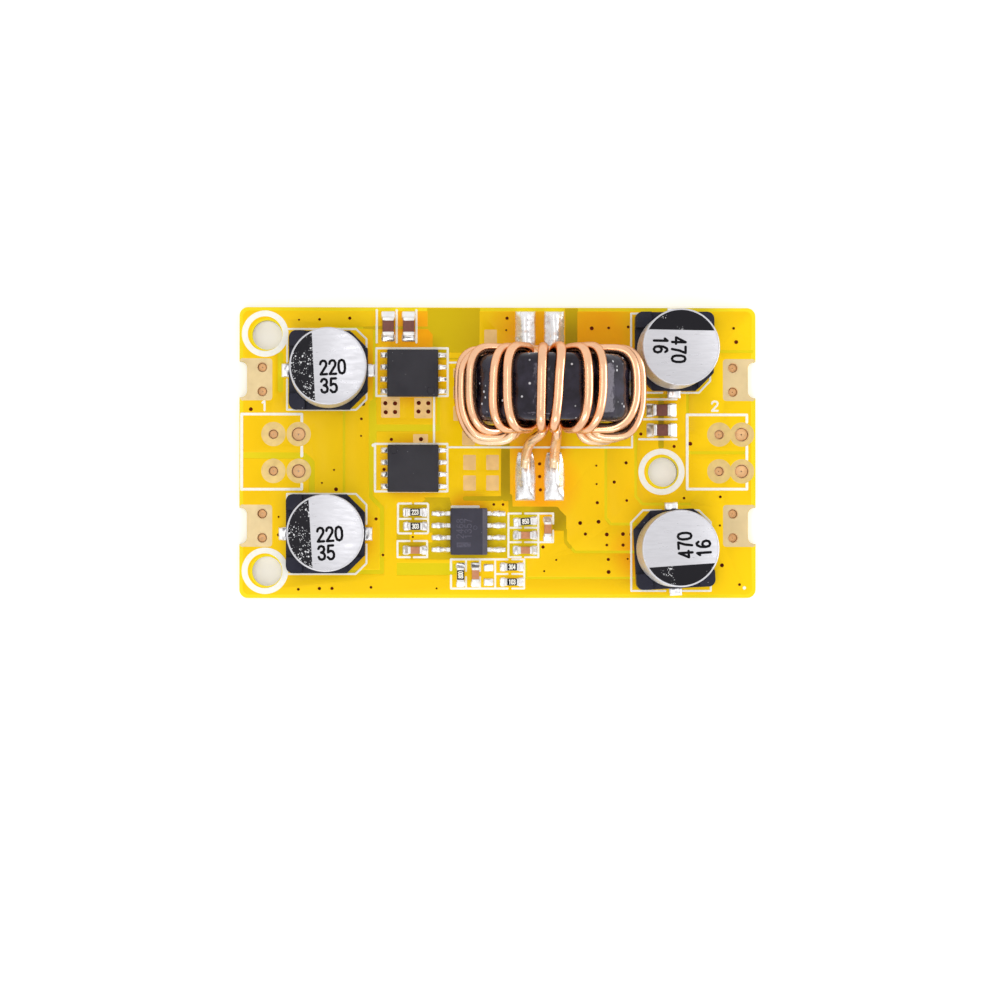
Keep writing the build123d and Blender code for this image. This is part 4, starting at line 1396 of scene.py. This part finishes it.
def joint_skin(side, seed):
    """One long solder joint: rounded sides, a ridge over its wire, a slope past the wire's end and a lumpy skin.

    The wire comes in at the +Y end where side is 1, and at the -Y end where it is -1.
    """
    across = 28
    along = 56
    points = []
    for row in range(along + 1):
        v = 2 * row / along - 1
        narrow = 1 - 0.28 * max(0, v * side) ** 2.5
        for column in range(across + 1):
            u = 2 * column / across - 1
            wobble = 0.05 * noise.noise(Vector((seed, v * 3, 0))) + 0.03 * noise.noise(Vector((seed, v * 9, 2)))
            x = u * (JOINT_HALF_WIDTH * narrow - 0.02 + wobble * abs(u))
            wall = (1 - abs(u) ** 3.2) ** 0.55 * (1 - abs(v) ** 14) ** 0.5
            bare = min(1, max(0, v * side - 0.22) / 0.6) if side > 0 else 0
            bare = bare * bare * (3 - 2 * bare)
            end = min(1, max(0, -v * side - 0.36 - 0.1 * sin(seed)) / 0.6) if side > 0 else 0
            ridge = exp(-abs((x - 0.06 * sin(3 * v + seed)) / (0.66 - 0.12 * bare)) ** 2.4)
            waves = noise.noise(Vector((u * 1.4, v * 2.2, seed)))
            ripples = noise.noise(Vector((u * 4, v * 8, seed)))
            body = 0.46 + 0.16 * waves + 0.06 * ripples
            cover = JOINT_RIDGE * (1 - 0.5 * bare) + 0.05 * noise.noise(Vector((seed, v * 5, 5)))
            height = wall * max(0.12, body * (1 - 0.3 * bare) + max(0, cover - body) * ridge * (1 - end))
            points.append(Vector((x, v * JOINT_HALF, height)))
    width = across + 1
    faces = [(a, a + 1, a + width + 1, a + width) for a in grid_places(along, across)]
    rim = list(range(width)) + [row * width + across for row in range(1, along + 1)]
    rim += [along * width + column for column in range(across - 1, -1, -1)]
    rim += [row * width for row in range(along - 1, 0, -1)]
    faces.append(tuple(reversed(rim)))
    return points, faces


def make_joints():
    """The four long solder joints of the inductor's leads."""
    form = Form()
    for number, x in enumerate((STRANDS["b"]["joint_x"], STRANDS["a"]["joint_x"])):
        form.add(joint_skin(1, 3.1 + 7 * number), put(x, FRONT_JOINT_Y, BOARD_TOP))
        form.add(joint_skin(-1, 21.7 + 5 * number), put(x, BACK_JOINT_Y, BOARD_TOP))
    make_piece("inductor_solder", form, ["solder"], ["inductor_solder_joints"], smooth=50)


# Packages


def dimpled_top(form, outline, x, y, radius, top):
    """A flat top with a shallow round dimple sunk into it."""
    corners, triangles = cut_map({"top": [outline], "dimple": [circle(x, y, radius, 40)]})
    points = [Vector((c.x, c.y, top)) for c in corners]
    form.add((points, [triangle for triangle, names in triangles if "dimple" not in names]))
    rings = []
    for share in (1.0, 0.5, 0.0):
        edge = circle(x, y, radius * (1 - 0.12 * share), 40)
        rings.append([(u, v, top - DIMPLE_DEPTH * share) for u, v in edge])
    points, faces = loft(rings, True, False)
    form.add((points, [face[::-1] for face in faces]))


def make_transistors():
    """Body and leads of both power transistors."""
    half_x, half_y = TRANSISTOR_HALF
    for name, (x, y, dimple_x, dimple_y) in TRANSISTORS.items():
        rings = []
        for inset, z in TRANSISTOR_INSETS:
            outline = rounded(0, 0, 2 * (half_x - inset), 2 * (half_y - inset), 0.14, 3)
            rings.append([(u, v, z) for u, v in outline])
        form = Form()
        form.add(loft(rings, True, False))
        dimpled_top(form, outline, dimple_x, dimple_y, DIMPLE_RADIUS, TRANSISTOR_HEIGHT)
        form.move(put(x, y, BOARD_TOP))
        make_piece(f"{name}_moulding", form, ["transistor"], [f"{name}_body"], smooth=35)
        dress_node(f"{name}_leads", "tin", 0.05)


def make_controller():
    """The controller: moulded body with a bevelled long edge, an etched mark and eight leads."""
    half_x, half_y = CONTROLLER_HALF
    low = CONTROLLER_LOW
    high = CONTROLLER_HIGH
    bevel = [(half_x - 0.02, high - 0.42), (half_x - 0.52, high)]
    profile = [(-half_x + 0.1, low), (half_x - 0.1, low), (half_x, low + 0.62), *bevel, (-half_x + 0.14, high),
               (-half_x + 0.06, high - 0.08), (-half_x, low + 0.62)]
    rings = []
    for inset, y in ((0.07, -half_y), (0.0, -half_y + 0.1), (0.0, half_y - 0.1), (0.07, half_y)):
        rings.append([(u * (1 - inset / half_x), y, low + (z - low) * (1 - inset / 4)) for u, z in profile[::-1]])
    body = Form()
    body.add(loft(rings))
    place = put(*CONTROLLER, BOARD_TOP)
    body.move(place)
    # The bevel faces take the paler finish, a painted sheen
    edge = profile[::-1].index(bevel[1])
    for row in range(len(rings) - 1):
        body.finishes[row * len(profile) + edge] = 1
    finishes = ["controller", "bevel"]
    make_piece("controller_moulding", body, finishes, ["controller_body"], smooth=20, bevel=0.03)
    dot_x, dot_y = CONTROLLER_DOT
    shapes = [rounded(-0.55, -1.4, 1.5, 0.5, 0.05, 2), circle(dot_x, dot_y, 0.23, 28)]
    for text, x in (("2468", -0.95), ("1357", -0.1)):
        shapes += number_strokes(text, x, 0.3, 0.7, 0.1, 0.85, 90)
    mark = Form()
    mark.add_shapes(shapes, high, high + 0.004, 0, [circle(dot_x, dot_y, 0.16, 28)])
    mark.move(place)
    make_piece("controller_mark", mark, ["marking"])
    dress_node("controller_leads", "tin", 0.04)


# Chips and small solder

CERAMIC_LOOKS = {"large": ("dark_ceramic", "ceramic_dark"), "small": ("light_ceramic", "ceramic_light")}


def make_chips():
    """Block and end caps of each chip."""
    for name, (kind, x, y, angle) in CERAMICS.items():
        length, width, height, _ = CHIP_SIZES[kind]
        key, slot = CERAMIC_LOOKS[kind]
        form = Form()
        form.add(rounded_block(length - 0.12, width - 0.06, 0.04, height - 0.04, 0.06))
        form.move(put(x, y, BOARD_TOP, angle))
        make_piece(f"{name}_ceramic", form, [key], [f"{name}_block"], smooth=60)
        add_end_caps(name, kind, x, y, angle)
    length, width, height, cap = CHIP_SIZES["resistor"]
    for name, (x, y, angle, text) in RESISTORS.items():
        form = Form()
        form.add(rounded_block(length - 0.1, width - 0.04, 0.03, height - 0.06, 0.03))
        cover = rounded_block(length - 2 * cap - 0.02, width - 0.06, height - 0.1, height + 0.03, 0.045)
        form.add(cover, finish=1)
        digits = number_strokes(text, 0, 0, 0.48, 0.09, 0.56)
        form.add_shapes(digits, height + 0.028, height + 0.036, 0.004, finish=2)
        form.move(put(x, y, BOARD_TOP, angle))
        finishes = ["substrate", "glaze", "print"]
        make_piece(f"{name}_chip", form, finishes, [f"{name}_block"], smooth=40)
        add_end_caps(name, "resistor", x, y, angle)


def add_end_caps(name, kind, x, y, angle):
    """The rounded tinned ends of a chip."""
    length, width, height, cap = CHIP_SIZES[kind]
    form = Form()
    for side in (-1, 1):
        end = rounded_block(cap, width, 0.0, height, 0.28 * min(cap, height), 5)
        form.add(end, put(x, y, BOARD_TOP, angle) @ put(side * (length - cap) / 2))
    make_piece(f"{name}_ends", form, ["tin"], [f"{name}_end_caps"], smooth=60)


def solder_skin(length, width, height_at, squareness=6, taper=0.0, beads=0):
    """Solder on a pad: steep sides all round, a height of its own at each place from -1 to 1, and narrower ends."""
    cells = 14
    marks = [sin(pi / 2 * (2 * i / cells - 1)) for i in range(cells + 1)]
    points = []
    for s in marks:
        breadth = width * (1 - taper * s ** 4 + (0.1 * cos(pi * beads * s) if beads else 0))
        for t in marks:
            wall = ((1 - abs(s) ** squareness) * (1 - abs(t) ** squareness)) ** 0.45
            points.append(Vector((s * length / 2, t * breadth / 2, wall * height_at(s, t))))
    count = cells + 1
    return points, [(a, a + count, a + count + 1, a + 1) for a in grid_places(cells, cells)]


def uneven(seed, size, s, t):
    """A small lump of solder, the same every time for one seed."""
    large = noise.noise(Vector((1.3 * s, 1.7 * t, seed)))
    return size * large + 0.4 * size * noise.noise(Vector((4 * s, 4 * t, seed)))


def fillet(length, width, climb, foot, seed, taper):
    """Solder that falls in a hollow curve from a chip's end to the end of its pad."""

    def height_at(s, t):
        return foot + (climb - foot) * (1 - (s + 1) / 2) ** 1.5 + uneven(seed, 0.1, s, t)

    return solder_skin(length, width, height_at, taper=taper)


def lump(length, width, height, seed, humps=0, squareness=3.0, roughness=0.1, taper=0.0):
    """A drop or a bar of solder, with humps along it where it joined in waves."""

    def height_at(s, t):
        wave = 0.16 * height * cos(pi * humps * s) if humps else 0
        return height + wave + uneven(seed, roughness, s, t)

    return solder_skin(length, width, height_at, squareness, taper, humps)


def solder_chips(form):
    """Two fillets at each chip."""
    chips = list(CERAMICS.values()) + [("resistor", x, y, angle) for x, y, angle, _ in RESISTORS.values()]
    for kind, x, y, angle in chips:
        length, width, height, _ = CHIP_SIZES[kind]
        reach, spare, taper = FILLETS[kind]
        for turn in (0, 180):
            climb = height * random.uniform(0.75, 0.92)
            wide = width + spare * random.uniform(0.85, 1.1)
            skin = fillet(reach + 0.2, wide, climb, 0.2, random.uniform(0, 90), taper)
            form.add(skin, put(x, y, BOARD_TOP, angle + turn) @ put(length / 2 + reach / 2 - 0.1))


def solder_leads(form):
    """Drops and bars at the leads of the transistors and the controller."""
    for x, y, _, _ in TRANSISTORS.values():
        for row in LEAD_ROWS:
            seed = random.uniform(0, 90)
            form.add(lump(0.76, 0.64, 0.42, seed, 0, 2.4), put(x + SINGLE_LEAD_DROP, y + row, BOARD_TOP))
            form.add(lump(0.95, 0.5, 0.3, seed + 1, 0, 6, 0.05), put(x + JOINED_LEAD_DROP, y + row, BOARD_TOP))
    x, y = CONTROLLER
    for side in (-1, 1):
        for row in LEAD_ROWS:
            toe = lump(1.5, random.uniform(0.6, 0.68), 0.4, random.uniform(0, 90), 2, taper=0.42)
            form.add(toe, put(x + side * TOE_DROP, y + row, BOARD_TOP))
            heel = lump(0.56, 0.56, 0.72, random.uniform(0, 90))
            form.add(heel, put(x + side * HEEL_DROP, y + row, BOARD_TOP))


def solder_tabs(form):
    """A drop at each capacitor tab, shorter where the board ends."""
    for x, y, angle, *_ in CAPACITORS.values():
        for side in (-1, 1):
            end = TAB_END if abs(y + side * TAB_END * sin(radians(angle))) < BOARD_HALF_Y else SHORT_TAB_END
            skin = lump(end - TAB_START, random.uniform(1.35, 1.5), 0.34, random.uniform(0, 90), 0, 5)
            form.add(skin, put(x, y, BOARD_TOP, angle) @ put(side * (end + TAB_START) / 2))


def make_small_solder():
    """Fillets at the chips, drops at the leads and tabs, and the tinned pads of the empty place."""
    form = Form()
    random.seed(9)
    solder_chips(form)
    solder_leads(form)
    solder_tabs(form)
    for x, y in EMPTY_CHIP_PADS:
        form.add(lump(*EMPTY_CHIP_PAD, 0.24, random.uniform(0, 90), 0, 6), put(x, y, BOARD_TOP))
    make_piece("small_solder", form, ["small_solder"], ["solder_fillets"], smooth=60)


# Stage


def make_world(sky):
    """Even light from all round that the camera, gloss and glass see as white."""
    world = bpy.data.worlds.new("even light")
    bpy.context.scene.world = world
    world.use_nodes = True
    nodes = world.node_tree.nodes
    links = world.node_tree.links
    even = nodes["Background"]
    white = nodes.new("ShaderNodeBackground")
    for background, strength in ((even, sky), (white, 1.0)):
        background.inputs["Color"].default_value = (1, 1, 1, 1)
        background.inputs["Strength"].default_value = strength
    path = nodes.new("ShaderNodeLightPath")
    seen = path.outputs["Is Camera Ray"]
    for ray in ("Is Glossy Ray", "Is Transmission Ray"):
        either = nodes.new("ShaderNodeMath")
        either.operation = "MAXIMUM"
        links.new(seen, either.inputs[0])
        links.new(path.outputs[ray], either.inputs[1])
        seen = either.outputs[0]
    mix = nodes.new("ShaderNodeMixShader")
    for socket, output in zip(mix.inputs, (seen, even.outputs[0], white.outputs[0])):
        links.new(output, socket)
    links.new(mix.outputs[0], nodes["World Output"].inputs["Surface"])


def looking(place, aim):
    """The matrix of something at a place that faces its aim, upright along +Y or +Z."""
    back = (place - aim).normalized()
    up = Vector((0, 0, 1)) if abs(back.z) < 0.9 else Vector((0, 1, 0))
    side = up.cross(back).normalized()
    turn = Matrix((side, back.cross(side), back)).transposed()
    return Matrix.Translation(place) @ turn.to_4x4()


def add_lamp(name, place, aim_height, width, length, power):
    """A soft lamp as a lit rectangle that faces a point over the board's middle."""
    lamp = bpy.data.lights.new(name, "AREA")
    lamp.shape = "RECTANGLE"
    lamp.size = width
    lamp.size_y = length
    lamp.energy = power
    holder = bpy.data.objects.new(name, lamp)
    bpy.context.scene.collection.objects.link(holder)
    holder.matrix_world = looking(Vector(place), Vector((0, 0, aim_height)))


def make_stage(settings):
    """Camera, lamps, even light and the pale floor."""
    scene = bpy.context.scene
    scene.view_settings.view_transform = "Standard"
    make_world(settings.sky)
    lens = bpy.data.cameras.new("camera")
    lens.lens = settings.lens
    lens.sensor_width = 36
    lens.clip_end = 10
    camera = bpy.data.objects.new("camera", lens)
    scene.collection.objects.link(camera)
    camera.matrix_world = looking(Vector((*CAMERA_PLACE, settings.distance)), Vector(CAMERA_AIM))
    scene.camera = camera
    add_lamp("front lamp", (-0.03, -0.34, 0.24), 0.005, 0.3, 0.055, settings.front)
    add_lamp("side lamp", (0.38, -0.02, 0.06), 0.015, 0.3, 0.13, settings.side)
    add_lamp("top lamp", (-0.09, -0.03, 0.38), 0.005, 0.05, 0.3, settings.top)
    points, faces = prism(rounded(0, 0, FLOOR_SIZE, FLOOR_SIZE, 300, 8), FLOOR_LOW, FLOOR_TOP)
    mesh = bpy.data.meshes.new("floor")
    mesh.from_pydata([p * MM for p in points], [], faces)
    mesh.materials.append(finish("floor"))
    floor = bpy.data.objects.new("floor", mesh)
    scene.collection.objects.link(floor)


# Operators and panel


class ConverterBuildBoard(bpy.types.Operator):
    """Dress the board: mask, copper areas, windows and bare pads"""

    bl_idname = "converter.build_board"
    bl_label = "Board layers"
    bl_options = {"REGISTER", "UNDO"}

    def execute(self, context):
        dress_board(context.scene.converter)
        return {"FINISHED"}


class ConverterBuildHoles(bpy.types.Operator):
    """Line the lead holes with plating"""

    bl_idname = "converter.build_holes"
    bl_label = "Hole plating"
    bl_options = {"REGISTER", "UNDO"}

    def execute(self, context):
        line_holes()
        return {"FINISHED"}


class ConverterBuildPrint(bpy.types.Operator):
    """Print the white lines and place numbers"""

    bl_idname = "converter.build_print"
    bl_label = "White print"
    bl_options = {"REGISTER", "UNDO"}

    def execute(self, context):
        print_board()
        return {"FINISHED"}


class ConverterBuildVias(bpy.types.Operator):
    """Add the small craters where the layers join"""

    bl_idname = "converter.build_vias"
    bl_label = "Vias"
    bl_options = {"REGISTER", "UNDO"}

    def execute(self, context):
        add_vias()
        return {"FINISHED"}


class ConverterBuildCapacitors(bpy.types.Operator):
    """Build the four can capacitors on their bases"""

    bl_idname = "converter.build_capacitors"
    bl_label = "Can capacitors"
    bl_options = {"REGISTER", "UNDO"}

    def execute(self, context):
        make_capacitors(context.scene.converter.capacitor)
        return {"FINISHED"}


class ConverterBuildCore(bpy.types.Operator):
    """Build the coated core of the inductor"""

    bl_idname = "converter.build_core"
    bl_label = "Inductor core"
    bl_options = {"REGISTER", "UNDO"}

    def execute(self, context):
        make_core(context.scene.converter.inductor)
        return {"FINISHED"}


class ConverterBuildWinding(bpy.types.Operator):
    """Wind both strands round the core"""

    bl_idname = "converter.build_winding"
    bl_label = "Inductor winding"
    bl_options = {"REGISTER", "UNDO"}

    def execute(self, context):
        wind_strands(context.scene.converter.inductor)
        return {"FINISHED"}


class ConverterBuildJoints(bpy.types.Operator):
    """Solder the inductor's four lead ends"""

    bl_idname = "converter.build_joints"
    bl_label = "Lead joints"
    bl_options = {"REGISTER", "UNDO"}

    def execute(self, context):
        make_joints()
        return {"FINISHED"}


class ConverterBuildTransistors(bpy.types.Operator):
    """Build both power transistors"""

    bl_idname = "converter.build_transistors"
    bl_label = "Transistors"
    bl_options = {"REGISTER", "UNDO"}

    def execute(self, context):
        make_transistors()
        return {"FINISHED"}


class ConverterBuildController(bpy.types.Operator):
    """Build the controller"""

    bl_idname = "converter.build_controller"
    bl_label = "Controller"
    bl_options = {"REGISTER", "UNDO"}

    def execute(self, context):
        make_controller()
        return {"FINISHED"}


class ConverterBuildChips(bpy.types.Operator):
    """Build the chip capacitors and resistors"""

    bl_idname = "converter.build_chips"
    bl_label = "Chips"
    bl_options = {"REGISTER", "UNDO"}

    def execute(self, context):
        make_chips()
        return {"FINISHED"}


class ConverterBuildSolder(bpy.types.Operator):
    """Add the small solder at chips, leads and tabs"""

    bl_idname = "converter.build_solder"
    bl_label = "Small solder"
    bl_options = {"REGISTER", "UNDO"}

    def execute(self, context):
        make_small_solder()
        return {"FINISHED"}


class ConverterBuildStage(bpy.types.Operator):
    """Set up camera, lamps and floor"""

    bl_idname = "converter.build_stage"
    bl_label = "Stage"
    bl_options = {"REGISTER", "UNDO"}

    def execute(self, context):
        make_stage(context.scene.converter.stage)
        return {"FINISHED"}


BUILDERS = (
    ConverterBuildBoard,
    ConverterBuildHoles,
    ConverterBuildPrint,
    ConverterBuildVias,
    ConverterBuildCapacitors,
    ConverterBuildCore,
    ConverterBuildWinding,
    ConverterBuildJoints,
    ConverterBuildTransistors,
    ConverterBuildController,
    ConverterBuildChips,
    ConverterBuildSolder,
    ConverterBuildStage,
)


class ConverterPanel(bpy.types.Panel):
    """Lists the settings and the builders of the converter board"""

    bl_idname = "VIEW3D_PT_converter"
    bl_label = "Converter board"
    bl_space_type = "VIEW_3D"
    bl_region_type = "UI"
    bl_category = "Converter"

    def draw(self, context):
        """Draws a box of settings for each group, then a button for each builder."""
        settings = context.scene.converter
        for key in ConverterSettings.__annotations__:
            group = getattr(settings, key)
            box = self.layout.box()
            box.label(text=key.capitalize())
            for name in group.__annotations__:
                box.prop(group, name)
        for builder in BUILDERS:
            self.layout.operator(builder.bl_idname)


SETTINGS = (BoardSettings, CapacitorSettings, InductorSettings, PackageSettings, StageSettings, ConverterSettings)


def register():
    """Registers the settings, the operators and the panel."""
    for part in (*SETTINGS, *BUILDERS, ConverterPanel):
        bpy.utils.register_class(part)
    bpy.types.Scene.converter = PointerProperty(type=ConverterSettings)


def unregister():
    """Takes the settings, the operators and the panel away again."""
    del bpy.types.Scene.converter
    for part in reversed((*SETTINGS, *BUILDERS, ConverterPanel)):
        bpy.utils.unregister_class(part)


def main():
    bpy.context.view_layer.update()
    register()
    for builder in BUILDERS:
        getattr(bpy.ops.converter, builder.bl_idname.split(".")[1])()


if __name__ == "__main__":
    main()
